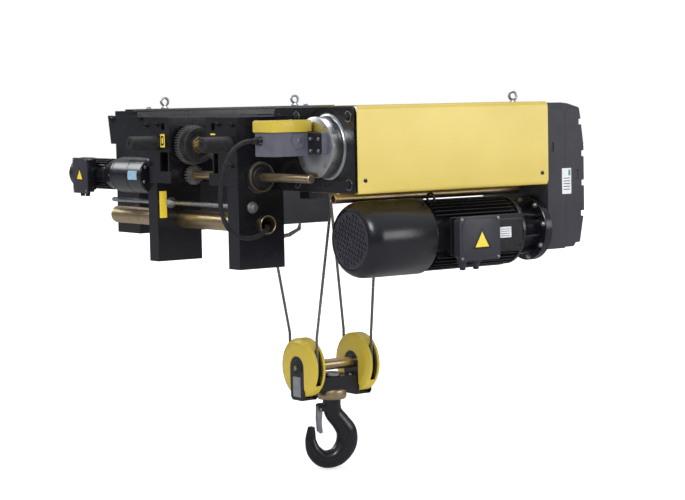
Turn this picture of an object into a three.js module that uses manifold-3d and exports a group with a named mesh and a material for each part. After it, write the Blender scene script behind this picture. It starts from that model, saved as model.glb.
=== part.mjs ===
// Electric wire rope hoist on a low-headroom monorail trolley, as separate sub-parts.
//
// Units are millimetres with +Z up. X runs along the runway beam and the rope drum, with the gearbox
// at +X. Y crosses the beam: the drum unit hangs at -Y and the switch cabinet at +Y. The wheels stand
// on the runway flange at z = 0, and the beam's web stands at y = 0.

import * as THREE from 'three';
import { mergeVertices } from 'three/addons/utils/BufferGeometryUtils.js';
import Module from 'manifold-3d';

const wasm = await Module();
wasm.setup();
const { Manifold, Mesh: SolidMesh } = wasm;

// ---------------------------------------------------------------- driving dimensions

const ORIGIN_X = 240;            // x of the mount, midway between the two axles, before the final shift
const GAP = 0.3;                 // air between two parts that are bolted together
const SHEET = 8;                 // folded and welded plate

const FRONT = -142;              // front of the trolley frames
const REAR = 600;                // rear of the trolley frames
const FRAME = { top: 150, bottom: -67, inner: 134 };
const NEAR_SIDE = -280;          // outer face of the near frame, where the drum unit is bolted on
const FAR_SIDE = 217;            // web face of the far leg
const LEG = { width: 172, depth: 64, foot: -332 };

const WHEEL = { r: 58, xFront: -65, pitch: 610, tread: [64, 100], flange: 66 };
const AXLE_R = 16;
const SHAFT = { x: -60, z: -41, r: 13, near: -565, far: 262 };
const PINION_R = 30;
const TIE = { x: -38, z: -193, r: 30, wall: 4, near: -292, far: 664 };
const REAR_TIE = { x: 540, z: -98, r: 22, wall: 4, near: -292, far: 300 };
const ROD = { x: -90, z: -136, r: 8, near: -298, far: 604 };

const DRUM = { y: -556, z: 55, r: 100, from: 24, to: 744, hub: 94 };
const PLATE = { y: [-707, NEAR_SIDE - GAP], z: [-85, 178], t: 10 };
const COVER = { face: -719, back: -470, x: [4, 769], z: [-87, 181], t: 3, corner: 14 };
const GEARBOX = { x: [772.6, 850, 932], y: [-712, -380], z: [-300, 176] };
const MOTOR = { y: -629, z: -232, r: 119, grille: 92 };

const RETURN = { x: 272, y: -206, z: -20, r: 52, turn: 46 };
const BLOCK = { x: 357, y: -66, z: -698, half: 113, r: 100, sheave: 80 };
const HOOK = { x: 357, y: -66, top: -818, turn: -22 };
const ROPE_R = 5;
const CABINET = { x: [0, 830], y: [579, 750], z: [-262, 172] };
const TRAVEL = { x: -112, z: -46, r: 54 };

// ---------------------------------------------------------------- finishes

function finish(name, color, roughness, metalness) {
  const material = new THREE.MeshStandardMaterial({ color, roughness, metalness });
  material.name = name;
  return material;
}

const black = finish('black_paint', 0x1d1e23, 0.45, 0.1);
const slate = finish('slate_paint', 0x2a2c31, 0.5, 0.1);
const yellow = finish('yellow_paint', 0xe9c93f, 0.4, 0.0);
const greyBox = finish('grey_plastic', 0x5f606b, 0.55, 0.0);
const gold = finish('passivated_zinc', 0xb89a63, 0.35, 0.9);
const zinc = finish('bright_zinc', 0xb4b6b8, 0.35, 0.9);
const steel = finish('machined_steel', 0xc4c5c8, 0.25, 1.0);
const iron = finish('cast_iron', 0x2b2a2c, 0.6, 0.4);
const rubber = finish('rubber', 0x18181a, 0.8, 0.0);
const plastic = finish('black_plastic', 0x141416, 0.5, 0.0);
const rope = finish('wire_rope', 0x7d7a73, 0.5, 0.8);

// ---------------------------------------------------------------- solids

function solid(geometry) {
  const plain = geometry.clone();
  plain.deleteAttribute('normal');
  plain.deleteAttribute('uv');
  const merged = mergeVertices(plain, 1e-4);
  const vertProperties = new Float32Array(merged.attributes.position.array);
  const triVerts = new Uint32Array(merged.index.array);
  const made = new Manifold(new SolidMesh({ numProp: 3, vertProperties, triVerts }));
  if (made.volume() >= 0) return made;
  for (let i = 0; i < triVerts.length; i += 3) {
    [triVerts[i], triVerts[i + 1]] = [triVerts[i + 1], triVerts[i]];
  }
  return new Manifold(new SolidMesh({ numProp: 3, vertProperties, triVerts }));
}

function toGeometry(made) {
  const mesh = made.getMesh();
  const positions = new Float32Array(mesh.numVert * 3);
  for (let i = 0; i < mesh.numVert; i += 1) {
    for (let k = 0; k < 3; k += 1) positions[3 * i + k] = mesh.vertProperties[mesh.numProp * i + k];
  }
  const geometry = new THREE.BufferGeometry();
  geometry.setAttribute('position', new THREE.BufferAttribute(positions, 3));
  geometry.setIndex(new THREE.BufferAttribute(new Uint32Array(mesh.triVerts), 1));
  return geometry;
}

const join = (...parts) => Manifold.union(parts.flat());
const cut = (body, ...tools) => body.subtract(Manifold.union(tools.flat()));

function box([x0, x1], [y0, y1], [z0, z1]) {
  const geometry = new THREE.BoxGeometry(x1 - x0, y1 - y0, z1 - z0);
  return solid(geometry.translate((x0 + x1) / 2, (y0 + y1) / 2, (z0 + z1) / 2));
}

// Turns a shape made along +Y so that it lies along the named axis, then moves it to `at`.
function lay(geometry, axis, at) {
  if (axis === 'x') geometry.rotateZ(-Math.PI / 2);
  if (axis === 'z') geometry.rotateX(Math.PI / 2);
  return solid(geometry.translate(...at));
}

// A round bar along `axis` from a to b, where (u, v) are its other two coordinates in x, y, z order.
function bar(axis, r, [a, b], u, v, sides = 14) {
  const mid = (a + b) / 2;
  const at = { x: [mid, u, v], y: [u, mid, v], z: [u, v, mid] }[axis];
  return lay(new THREE.CylinderGeometry(r, r, b - a, sides), axis, at);
}

const tube = (axis, r, wall, [a, b], u, v, sides = 24) =>
  cut(bar(axis, r, [a, b], u, v, sides), bar(axis, r - wall, [a - 1, b + 1], u, v, sides));

// A turned piece: `profile` lists [radius, distance along the axis].
function turned(axis, profile, at, sides = 18) {
  const points = profile.map(([r, t]) => new THREE.Vector2(r, t));
  return lay(new THREE.LatheGeometry(points, sides), axis, at);
}

// A plate with an outline in the plane across `axis`: (y, z) for x, (x, z) for y and (x, y) for z.
function plate(axis, outline, [a, b]) {
  const shape = outline instanceof THREE.Shape ? outline
    : new THREE.Shape(outline.map(([u, v]) => new THREE.Vector2(u, v)));
  const geometry = new THREE.ExtrudeGeometry(shape, { depth: b - a, bevelEnabled: false, curveSegments: 4 });
  if (axis === 'x') {
    geometry.applyMatrix4(new THREE.Matrix4().set(0, 0, 1, a, 1, 0, 0, 0, 0, 1, 0, 0, 0, 0, 0, 1));
  }
  if (axis === 'y') {
    geometry.applyMatrix4(new THREE.Matrix4().set(1, 0, 0, 0, 0, 0, -1, b, 0, 1, 0, 0, 0, 0, 0, 1));
  }
  if (axis === 'z') geometry.translate(0, 0, a);
  return solid(geometry);
}

function roundedRect([u0, u1], [v0, v1], r) {
  const shape = new THREE.Shape();
  shape.absarc(u1 - r, v1 - r, r, 0, Math.PI / 2);
  shape.absarc(u0 + r, v1 - r, r, Math.PI / 2, Math.PI);
  shape.absarc(u0 + r, v0 + r, r, Math.PI, 1.5 * Math.PI);
  shape.absarc(u1 - r, v0 + r, r, 1.5 * Math.PI, 2 * Math.PI);
  return shape;
}

// A spur gear of pitch radius r across `axis`, on a bore.
function gear(axis, r, teeth, [a, b], u, v, bore, depth = 5) {
  const outline = [];
  for (let i = 0; i < teeth; i += 1) {
    [[-0.32, -1], [-0.14, 1], [0.14, 1], [0.32, -1]].forEach(([share, side]) => {
      const angle = ((i + share) * 2 * Math.PI) / teeth;
      const radius = r + (side * depth) / 2;
      outline.push([u + radius * Math.cos(angle), v + radius * Math.sin(angle)]);
    });
  }
  return cut(plate(axis, outline, [a, b]), bar(axis, bore, [a - 1, b + 1], u, v));
}

// A round bar between two points, with its flat ends cut level.
function slanted(p, q, r, sides = 8) {
  const ring = (at) => Array.from({ length: sides }, (_, i) => {
    const angle = (i * 2 * Math.PI) / sides;
    return [at[0] + r * Math.cos(angle), at[1] + r * Math.sin(angle), at[2]];
  });
  return Manifold.hull([...ring(p), ...ring(q)]);
}

const spin = (made, degrees, [x, y]) =>
  made.translate([-x, -y, 0]).rotate([0, 0, degrees]).translate([x, y, 0]);

const hexagon = (axis, across, [a, b], u, v) => bar(axis, across / Math.sqrt(3), [a, b], u, v, 6);

// ---------------------------------------------------------------- the assembly

const hoist = new THREE.Group();
hoist.name = 'wire_rope_hoist';

function add(name, made, material) {
  const mesh = new THREE.Mesh(toGeometry(made.translate([-ORIGIN_X, 0, 0])), material);
  mesh.name = name;
  hoist.add(mesh);
}

const wheelXs = [WHEEL.xFront, WHEEL.xFront + WHEEL.pitch];

// Everything that passes through the frames across the beam, with running room round it.
const crossHoles = [
  ...wheelXs.map((x) => bar('y', AXLE_R + 2 * GAP, [-320, 320], x, WHEEL.r)),
  bar('y', SHAFT.r + 2 * GAP, [-620, 320], SHAFT.x, SHAFT.z),
  bar('y', TIE.r + 2 * GAP, [-320, 700], TIE.x, TIE.z, 24),
  bar('y', REAR_TIE.r + 2 * GAP, [-320, 320], REAR_TIE.x, REAR_TIE.z, 24),
  bar('y', ROD.r + 2 * GAP, [-320, 640], ROD.x, ROD.z),
];

function addFrames() {
  const { top, bottom, inner } = FRAME;
  const nearCheek = plate('x', [
    [-289, top], [-113, top], [-113, 36], [-179, 36], [-179, -28], [-123, -28], [-123, bottom], [-289, bottom],
  ], [FRONT - SHEET, FRONT]);
  const farCheek = plate('x', [
    [116, top], [523, 158], [505, 61], [413, 61], [413, 18], [251, 18], [251, bottom], [113, bottom],
    [113, -28], [179, -28], [179, 36], [116, 36],
  ], [FRONT - SHEET, FRONT]);
  const ovals = [-153, 158].map((y) => plate('x', roundedRect([y - 11, y + 11], [107, 135], 10.9), [-160, -130]));
  const rearPlate = (y0, y1) => box([REAR - SHEET, REAR], [y0, y1], [bottom, top]);

  const nearFrame = join(
    nearCheek,
    box([FRONT, 759.7], [NEAR_SIDE, NEAR_SIDE + SHEET], [bottom, top]),
    box([FRONT, REAR], [-inner - SHEET, -inner], [bottom, top]),
    rearPlate(NEAR_SIDE, -inner),
    box([FRONT, REAR], [NEAR_SIDE, -inner], [top - SHEET, top]),
  );
  const farFrame = join(
    farCheek,
    box([FRONT, REAR], [FAR_SIDE, FAR_SIDE + SHEET], [bottom, top]),
    box([FRONT, REAR], [inner, inner + SHEET], [bottom, top]),
    rearPlate(inner, FAR_SIDE + SHEET),
    box([FRONT, REAR], [inner, FAR_SIDE + SHEET], [top - SHEET, top]),
    box([20, 70], [FAR_SIDE, CABINET.y[0] - GAP], [90, top]),
    box([520, 570], [FAR_SIDE, CABINET.y[0] - GAP], [90, top]),
  );
  const beamGap = box([FRONT - 20, REAR + 20], [-inner + 0.1, -inner + 22], [-28, 36]);
  const rearBracket = (side, depth) => channel(480, REAR, side, depth, -150, bottom + 1);
  add('near_frame', cut(join(nearFrame, rearBracket(NEAR_SIDE, LEG.depth), ropeAnchor(), rearBearingPlate()),
    crossHoles, ovals, beamGap), black);
  add('far_frame', cut(join(farFrame, rearBracket(FAR_SIDE, 58)), crossHoles, ovals), black);
}

// A folded channel with a wide web across Y and two flanges, hung under a frame.
function channel(x0, x1, side, depth, foot, head) {
  const web = box([x0, x1], [side, side + SHEET], [foot, head]);
  const flanges = [x0, x1 - SHEET].map((x) => box([x, x + SHEET], [side, side + depth], [foot, head]));
  return cut(join(web, flanges), crossHoles);
}

function addLegs() {
  const head = FRAME.bottom - GAP;
  const bossRoom = bar('y', 53, [-320, -260], SHAFT.x, SHAFT.z);
  add('near_leg', cut(channel(FRONT, FRONT + LEG.width, NEAR_SIDE, LEG.depth, LEG.foot, head), bossRoom), black);
  add('far_leg', channel(FRONT, FRONT + LEG.width, FAR_SIDE, 58, LEG.foot, head), black);
}

function addTies() {
  const long = [TIE.near, TIE.far];
  add('front_tie_tube', tube('y', TIE.r, TIE.wall, long, TIE.x, TIE.z), gold);
  add('rear_tie_tube', tube('y', REAR_TIE.r, REAR_TIE.wall, [REAR_TIE.near, REAR_TIE.far], REAR_TIE.x,
    REAR_TIE.z), gold);
  // Two nuts lock each leg from both sides: `face` is the leg's face and `way` points off it.
  const nut = (face, way) => {
    const span = (from, to) => [face + way * from, face + way * to].sort((p, q) => p - q);
    return join(hexagon('y', 24, span(GAP + 2.5, GAP + 15), ROD.x, ROD.z),
      bar('y', 17, span(GAP, GAP + 3), ROD.x, ROD.z, 12));
  };
  const nuts = [NEAR_SIDE, FAR_SIDE].flatMap((side) => [nut(side, -1), nut(side + SHEET, 1)]);
  add('clamp_rod', join(bar('y', ROD.r, [ROD.near, ROD.far], ROD.x, ROD.z, 12), nuts), zinc);
}

// One wheel on its axle. The front wheels carry a gear rim that the cross shaft drives.
function wheel(side, x, driven) {
  const { r, tread: [inside, outside], flange } = WHEEL;
  const profile = [
    [0, outside + 26], [0, inside], [28, inside], [30, inside + 6], [44, inside + 6],
    [46, inside], [r, inside], [r, outside], [flange, outside + 1], [flange, outside + 6],
    [28, outside + 6], [28, outside + 26], [0, outside + 26],
  ].map(([radius, y]) => [radius, side * y]);
  const made = turned('y', profile, [x, 0, r], 20);
  if (!driven) return made;
  const band = side > 0 ? [outside + 5, outside + 21] : [-outside - 21, -outside - 5];
  return join(made, gear('y', r + 4, 22, band, x, r, 26, 6));
}

function addWheels() {
  const names = [['front', true], ['rear', false]];
  names.forEach(([end, driven], i) => {
    [[-1, 'near'], [1, 'far']].forEach(([side, label]) => {
      const x = wheelXs[i];
      const span = side > 0 ? [52, FRAME.inner + 24] : [-FRAME.inner - 24, -52];
      const head = side > 0 ? [46, 66] : [-66, -46];
      const axle = join(bar('y', AXLE_R, span, x, WHEEL.r), hexagon('y', 34, head, x, WHEEL.r));
      add(`wheel_${end}_${label}`, join(wheel(side, x, driven), axle), iron);
    });
  });
}

function addTravelDrive() {
  const shaft = bar('y', SHAFT.r, [SHAFT.near, SHAFT.far - 4], SHAFT.x, SHAFT.z, 20);
  const pinion = (a, b) => gear('y', PINION_R, 11, [a, b], SHAFT.x, SHAFT.z, SHAFT.r - 1, 6);
  add('travel_shaft', join(shaft, pinion(-124, -105), pinion(105, 124)), gold);

  const sleeve = (a, b, r) => tube('y', r, r - SHAFT.r - 0.4, [a, b], SHAFT.x, SHAFT.z);
  add('shaft_bearing_near', sleeve(NEAR_SIDE - 16, NEAR_SIDE - GAP, 50), plastic);

  const centres = [[SHAFT.x, SHAFT.z, 60], [TRAVEL.x, TRAVEL.z, 62]];
  const lobes = centres.map(([x, z, r]) => bar('y', r, [276, 472], x, z, 28));
  const neck = bar('y', 40, [FAR_SIDE + SHEET + GAP, 277], SHAFT.x, SHAFT.z);
  const bore = bar('y', SHAFT.r + 0.4, [200, SHAFT.far + 1], SHAFT.x, SHAFT.z);
  add('travel_reducer', cut(join(lobes, neck), bore), slate);

  const body = join(
    bar('y', 60, [472.6, 486], TRAVEL.x, TRAVEL.z, 32),
    turned('y', [[0, 486], [58, 486], [52, 540], [0, 540]], [TRAVEL.x, 0, TRAVEL.z]),
    bar('y', 46, [540, 712], TRAVEL.x, TRAVEL.z, 28),
    finned(8, 44, TRAVEL.r, [544, 708], TRAVEL.x, TRAVEL.z, 'y', 3),
    turned('y', [[0, 706], [54, 706], [56, 710], [56, 778], [50, 792], [0, 792]], [TRAVEL.x, 0, TRAVEL.z]),
  );
  const lidX = TRAVEL.x - TRAVEL.r - 26;
  const terminal = join(
    box([lidX + 5, TRAVEL.x - 40], [612, 706], [-108, 8]),
    plate('x', roundedRect([608, 710], [-112, 12], 8), [lidX, lidX + 6]),
  );
  add('travel_motor', join(body, terminal), black);
}

// Cooling fins set round an axis, as thin blades.
function finned(count, r0, r1, [a, b], u, v, axis, t, keep = () => true) {
  const blades = [];
  for (let i = 0; i < count; i += 1) {
    const angle = (i * 360) / count;
    if (!keep(angle)) continue;
    const blade = axis === 'x' ? box([a, b], [r0, r1], [-t / 2, t / 2]).rotate([angle, 0, 0]).translate([0, u, v])
      : box([r0, r1], [a, b], [-t / 2, t / 2]).rotate([0, -angle, 0]).translate([u, 0, v]);
    blades.push(blade);
  }
  return join(blades);
}

function addBuffers() {
  const base = FRONT - SHEET - GAP;
  [[-250, 'near'], [200, 'far']].forEach(([y, side]) => {
    add(`buffer_${side}`, bar('x', 25, [base - 105, base], y, 66, 28), rubber);
  });
}

// The plate at the gearbox end that carries the drum's rear bearing.
function rearBearingPlate() {
  const rear = box([759, 772], [-700, NEAR_SIDE + SHEET], [FRAME.bottom, 174]);
  return cut(rear, bar('x', 46, [750, 780], DRUM.y, DRUM.z, 40));
}

// The block that the rope's dead end hangs from, welded inside the near frame.
function ropeAnchor() {
  const block = join(box([11, 51], [-180, -140], [-44, 20]), bar('z', 15, [-60, -44], 31, -161, 20));
  return cut(block, bar('z', 6, [-90, -20], 31, -161));
}

function addDrumUnit() {
  const hole = bar('x', 105, [-20, 20], DRUM.y, DRUM.z, 32);
  const dish = bar('x', 121, [-1, 4], DRUM.y, DRUM.z, 32);
  const front = plate('x', roundedRect(PLATE.y, PLATE.z, 16), [0, PLATE.t]);
  add('drum_end_plate', cut(front, hole, dish), black);

  const profile = [
    [0, 13], [40, 13], [40, DRUM.from], [DRUM.r + 4, DRUM.from], [DRUM.r + 4, DRUM.from + 12],
    [DRUM.r - 2, DRUM.from + 14], [DRUM.r - 2, DRUM.to - 14],
    [DRUM.r + 4, DRUM.to - 12], [DRUM.r + 4, DRUM.to], [40, DRUM.to], [40, 800], [14, 800], [14, 830], [0, 830],
  ];
  add('rope_drum', join(turned('x', profile, [0, DRUM.y, DRUM.z], 24), spur(102, 20, [801, 826],
    [DRUM.y, DRUM.z], 12)), iron);
  add('drum_end_disc', turned('x', [
    [0, -42], [DRUM.hub - 3, -42], [DRUM.hub, -39], [DRUM.hub, 4], [102, 8], [102, 12.6], [0, 12.6],
  ], [0, DRUM.y, DRUM.z], 36), steel);

  const ring = tube('x', 118, 10, [303, 331], DRUM.y, DRUM.z, 36);
  const mouth = box([290, 340], [DRUM.y + 60, DRUM.y + 140], [DRUM.z - 40, DRUM.z + 40]);
  add('rope_guide', cut(ring, mouth), plastic);
  add('spacer_tube', tube('x', 15, 3, [10.6, 758.4], -576, -105), gold);
}

function addDrumCover() {
  const { face, back, x, z, t, corner } = COVER;
  const depth = back - face;
  const outer = plate('x', roundedRect([face, back + 40], z, corner), x);
  const inner = plate('x', roundedRect([face + t, back + 60], [z[0] + t, z[1] - t], corner - t), [x[0] - 1, x[1] + 1]);
  const keep = box([x[0] - 1, x[1] + 1], [face - 1, face + depth], [z[0] - 1, z[1] + 1]);
  const behindPlate = box([x[0] - 1, 10.3], [face + t + 0.1, back + 50], [z[0] + 0.1, z[1] - 0.1]);
  const slots = [[31, -46], [743, -49]].map(([sx, sz]) =>
    plate('y', roundedRect([sx - 8, sx + 8], [sz - 4.5, sz + 4.5], 4.4), [face - 5, face + 10]));
  const rounds = cut(
    box([x[1] - 12, x[1] + 1], [face - 1, face + t + 1], [z[0] - 1, z[1] + 1]),
    plate('y', roundedRect([x[0], x[1]], z, 16), [face - 2, face + t + 2]),
  );
  add('drum_cover', cut(outer.intersect(keep), inner, behindPlate, slots, rounds), yellow);
}

function addGearbox() {
  const { x: [x0, x1, x2], y: [y0, y1], z: [z0, z1] } = GEARBOX;
  const side = [[y0, z1 - 20], [y0 + 20, z1], [y1 - 60, z1], [y1, z1 - 60], [y1, -120], [y1 - 60, z0], [y0 + 8, z0],
    [y0, z0 + 8]];
  const inset = side.map(([y, z]) => [
    THREE.MathUtils.clamp(y, y0 + 9, y1 - 9), THREE.MathUtils.clamp(z, z0 + 9, z1 - 9),
  ]);
  const shell = cut(plate('x', side, [x0, x1]), plate('x', inset, [x0 + 9, x1 + 1]));
  const shaftHoles = [
    bar('x', 41, [x0 - 5, x0 + 20], DRUM.y, DRUM.z, 32),
    bar('x', 20, [x0 - 5, x0 + 20], MOTOR.y, MOTOR.z, 24),
  ];
  const latchRecess = box([780, 800], [y0 - 1, y0 + 4], [18, 48]);
  add('gearbox_housing', cut(shell, shaftHoles, latchRecess), slate);

  const outline = new THREE.Shape([
    [x1 + GAP, z0 + 4], [884, z0 + 4], [892, z0 + 16], [912, z0 + 18], [x2, z0 + 120], [x2, 30], [918, 130],
    [912, 160], [876, z1 - 3], [x1 + GAP, z1],
  ].map(([u, v]) => new THREE.Vector2(u, v)));
  const cap = plate('y', outline, [y0, y1]).intersect(plate('x', side, [x1 - 1, x2 + 1]));
  const hollow = plate('x', inset, [x1 - 2, x2 - 40]);
  const notches = [[112, 911], [8, 922], [-88, 922], [-188, 918]].map(
    ([z, from]) => box([from, x2 + 1], [y0 - 1, y1 + 1], [z - 9, z + 9]),
  );
  notches.push(box([892, 906], [y0 - 1, y0 + 3], [-76, -45]));
  add('gearbox_cover', cut(cap, hollow, notches), slate);

  const stages = gearCentres();
  add('second_shaft', join(
    spur(28, 7, [801, 826], stages.second, 8), spur(56, 14, [828, 846], stages.second, 8),
    bar('x', 10, [786, 862], ...stages.second),
  ), steel);
  add('first_shaft', join(
    spur(36, 9, [828, 846], stages.first, 8), spur(66, 16, [784, 798], stages.first, 8),
    bar('x', 10, [783, 862], ...stages.first),
  ), steel);
}

const spur = (r, teeth, span, [y, z], bore) => gear('x', r, teeth, span, y, z, bore, 6);

// The gear centres step from the motor up to the drum, each pair just clear of each other at the tooth tips.
function gearCentres() {
  const motor = new THREE.Vector2(MOTOR.y, MOTOR.z);
  const drum = new THREE.Vector2(DRUM.y, DRUM.z);
  const along = drum.clone().sub(motor).normalize();
  const first = motor.clone().addScaledVector(along, 28 + 66 + 6.5);
  const toDrum = drum.distanceTo(first);
  const low = 36 + 56 + 6.5;
  const high = 28 + 102 + 6.5;
  const shift = (toDrum ** 2 + low ** 2 - high ** 2) / (2 * toDrum);
  const rise = Math.sqrt(Math.max(0, low ** 2 - shift ** 2));
  const second = first.clone().addScaledVector(along, shift);
  second.add(new THREE.Vector2(along.y, -along.x).multiplyScalar(rise));
  return { first: [first.x, first.y], second: [second.x, second.y] };
}

function addHoistMotor() {
  const { y, z, r, grille } = MOTOR;
  const at = [0, y, z];
  add('fan_cover', turned('x', [
    [grille + 1, 35], [104, 44], [r - 4, 66], [r, 84], [r, 286], [r - 3, 286], [r - 3, 85], [r - 7, 68],
    [102, 48], [grille + 1, 40], [grille + 1, 35],
  ], at, 28), black);
  add('fan_grille', grilleDisc(), plastic);
  const blades = finned(7, 22, 96, [92, 120], y, z, 'x', 4);
  add('cooling_fan', cut(join(bar('x', 30, [90, 130], y, z), blades, tube('x', 98, 4, [112, 122], y, z, 32)),
    bar('x', 14.4, [80, 140], y, z)), plastic);

  const onFace = (angle) => angle < 150 || angle > 210;
  const stator = cut(
    join(
      bar('x', 96, [286.6, 640], y, z, 40),
      turned('x', [[0, 286.6], [112, 286.6], [112, 292], [98, 300], [0, 300]], at, 40),
      finned(16, 90, 113, [302, 632], y, z, 'x', 3, onFace),
      box([345, 640], [y - 108, y - 80], [z - 62, z + 62]),
      box([522, 628], [y - 124, y - 107], [z - 50, z + 44]),
      liftingEye(),
    ),
    bar('x', 84, [300, 641], y, z, 24), bar('x', 15, [280, 310], y, z),
  );
  add('motor_stator', stator, black);
  add('motor_rotor', cut(
    join(bar('x', 78, [330, 610], y, z, 24), bar('x', 14, [94, 786], y, z, 20),
      spur(28, 10, [784, 798], [y, z], 8)),
    bar('x', 4, [93, 100], y, z),
  ), steel);

  const ribs = finned(6, 60, 101, [650, 744], y, z, 'x', 7);
  const shield = cut(
    join(bar('x', 110, [640.6, 654], y, z, 40), turned('x', [[0, 654], [88, 654], [66, 748], [0, 748]], at, 32),
      ribs, bar('x', 104, [744, 772.3], y, z, 48)),
    bar('x', 14.4, [630, 780], y, z), bar('x', 60, [656, 744], y, z, 24),
  );
  add('motor_end_shield', shield, black);

  const boxX = [353, 517];
  const face = y - r - 26;
  const lidShape = chamfered(boxX, [z - 78, z + 62], 16);
  const glands = [384, 438].map((x) => {
    const top = z - 73.5;
    return join(hexagon('z', 30, [top - 11, top], x, face + 30), bar('z', 13, [top - 25, top - 10], x, face + 30, 16));
  });
  add('terminal_box', join(plate('y', chamfered([boxX[0] + 4, boxX[1] - 4], [z - 74, z + 58], 12),
    [face + 8.6, y - 108.4]), glands), slate);
  add('terminal_box_lid', plate('y', lidShape, [face, face + 8]), slate);
}

// The eye that the motor is lifted by stands on the top of its stator.
function liftingEye() {
  const { y, z } = MOTOR;
  const eye = new THREE.TorusGeometry(17, 4, 6, 14).rotateY(Math.PI / 2).translate(318, y - 44, z + 118);
  return join(solid(eye), bar('z', 6, [z + 70, z + 104], 318, y - 44, 12));
}

function grilleDisc() {
  const { y, z, grille } = MOTOR;
  const disc = bar('x', grille - 1.5, [36, 39.6], y, z, 28);
  const slots = [];
  const pitch = 20;
  for (let row = -3; row <= 3; row += 1) {
    for (let column = -2; column <= 2; column += 1) {
      const u = column * 32 + (row % 2) * 16;
      const v = row * pitch;
      if (Math.hypot(u, v) > grille - 22) continue;
      slots.push(box([30, 50], [u - 13, u + 13], [v - 5, v + 5]));
    }
  }
  const tilted = join(slots).rotate([60, 0, 0]).translate([0, y, z]);
  return cut(disc, tilted);
}

function chamfered([u0, u1], [v0, v1], c) {
  return [[u0 + c, v0], [u1 - c, v0], [u1, v0 + c], [u1, v1 - c], [u1 - c, v1], [u0 + c, v1], [u0, v1 - c],
    [u0, v0 + c]];
}

function addLimitSwitch() {
  const y = [-549, -449];
  const flange = plate('x', roundedRect([y[0] - 80, y[1] + 4], [34, 102], 8), [-64, -42.4]);
  const boss = bar('y', 15, [y[0] - 5, y[0]], -106, 78, 20);
  const gland = join(hexagon('x', 26, [-197, -185], -478, 78), turned('x', [
    [0, -212], [7.5, -212], [10.5, -197], [0, -197],
  ], [0, -478, 78], 16));
  const housing = plate('y', roundedRect([-186, -62.4], [30, 103], 3), y);
  add('limit_switch_body', join(housing, boss, flange, gland), greyBox);
  const lid = plate('y', chamfered([-192, -47], [103.4, 140], 6), [y[0] - 5, y[1] + 5]);
  add('limit_switch_lid', lid, yellow);
}

// The cord from the limit switch hangs in one loop and goes back into the front tie tube.
function addSwitchCord() {
  const route = [
    [-213, -478, 78], [-234, -478, 78], [-256, -475, 71], [-276, -468, 55], [-290, -458, 28],
    [-299, -446, -7], [-301, -432, -48], [-297, -418, -89], [-286, -403, -128], [-267, -390, -164],
    [-243, -378, -192], [-213, -370, -213], [-180, -364, -224], [-146, -358, -226], [-114, -350, -221],
    [-87, -337, -212], [-65, -321, -204], [-50, -302, -199], [-42, -284, -198],
  ].map((p) => new THREE.Vector3(...p));
  const curve = new THREE.CatmullRomCurve3(route, false, 'centripetal');
  const shape = new THREE.Shape();
  shape.absarc(0, 0, 7.5, 0, 2 * Math.PI);
  const geometry = new THREE.ExtrudeGeometry(shape, { steps: 34, extrudePath: curve, curveSegments: 4 });
  add('limit_switch_cord', solid(geometry), rubber);
}

function addHookBlock() {
  const { x, y, z, half, r, sheave } = BLOCK;
  [[-1, 'left'], [1, 'right']].forEach(([side, label]) => {
    const cx = x + side * half;
    const wall = (rim, face, edge) => turned('x', [
      [0, -face], [r - 18, -face], [rim, -edge], [rim, edge], [r - 18, face], [0, face],
    ], [cx, y, z], 22);
    const mouths = [-1, 1].map((s) => box([cx - 11, cx + 11], [y + s * 90 - 22, y + s * 90 + 22], [z - 58, z + 76]));
    const notches = [[-30, -23], [23, 30]].map(([a, b]) => plate('x', hangerOutline(40), [cx + a, cx + b]));
    const bore = bar('x', 19.5, [cx - 80, cx + 80], y, z, 32);
    add(`sheave_cover_${label}`, cut(wall(r, 29.2, 21), wall(r - 3, 20, 18), mouths, notches, bore), yellow);
    const rim = sheave + 9;
    add(`sheave_${label}`, turned('x', [
      [19.6, -12], [30, -12], [34, -6], [62, -6], [66, -10], [rim, -10], [sheave - 5.5, -3], [sheave - 5.5, 3],
      [rim, 10], [66, 10], [62, 6], [34, 6], [30, 12], [19.6, 12], [19.6, -12],
    ], [cx, y, z], 20), iron);
    add(`hanger_${label}`, cut(hanger(cx), bore, bar('x', 16.3, [x - half + 10, x + half - 10], y, z - 62, 20)), black);
  });
  const reach = half + 36;
  add('block_shaft', bar('x', 19, [x - reach, x + reach], y, z, 32), gold);
  const inside = half - 29.6;
  add('crosshead', cut(
    join(box([x - inside, x + inside], [y - 36, y + 36], [z - 84, z - 40]),
      bar('x', 16, [x - half + 24, x + half - 24], y, z - 62, 20)),
    bar('z', 20.4, [z - 90, z - 30], x, y, 24),
  ), black);
}

// A U-shaped hanger round the bottom of one sheave cover, with round heads on the block shaft.
function hanger(cx) {
  const { y, z } = BLOCK;
  const w = 38;
  const shape = hangerOutline(w);
  const sides = [[-29.3, -23.3], [23.3, 29.3]].map(([a, b]) => plate('x', shape, [cx + a, cx + b]));
  return join(sides, box([cx - 29.3, cx + 29.3], [y - w + 12, y + w - 12], [z - 110, z - 102]));
}

function hangerOutline(w) {
  const { y, z } = BLOCK;
  const shape = new THREE.Shape();
  shape.absarc(y, z, w, 0, Math.PI);
  shape.lineTo(y - w, z - 100);
  shape.lineTo(y - w + 10, z - 110);
  shape.lineTo(y + w - 10, z - 110);
  shape.lineTo(y + w, z - 100);
  return shape;
}

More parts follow.
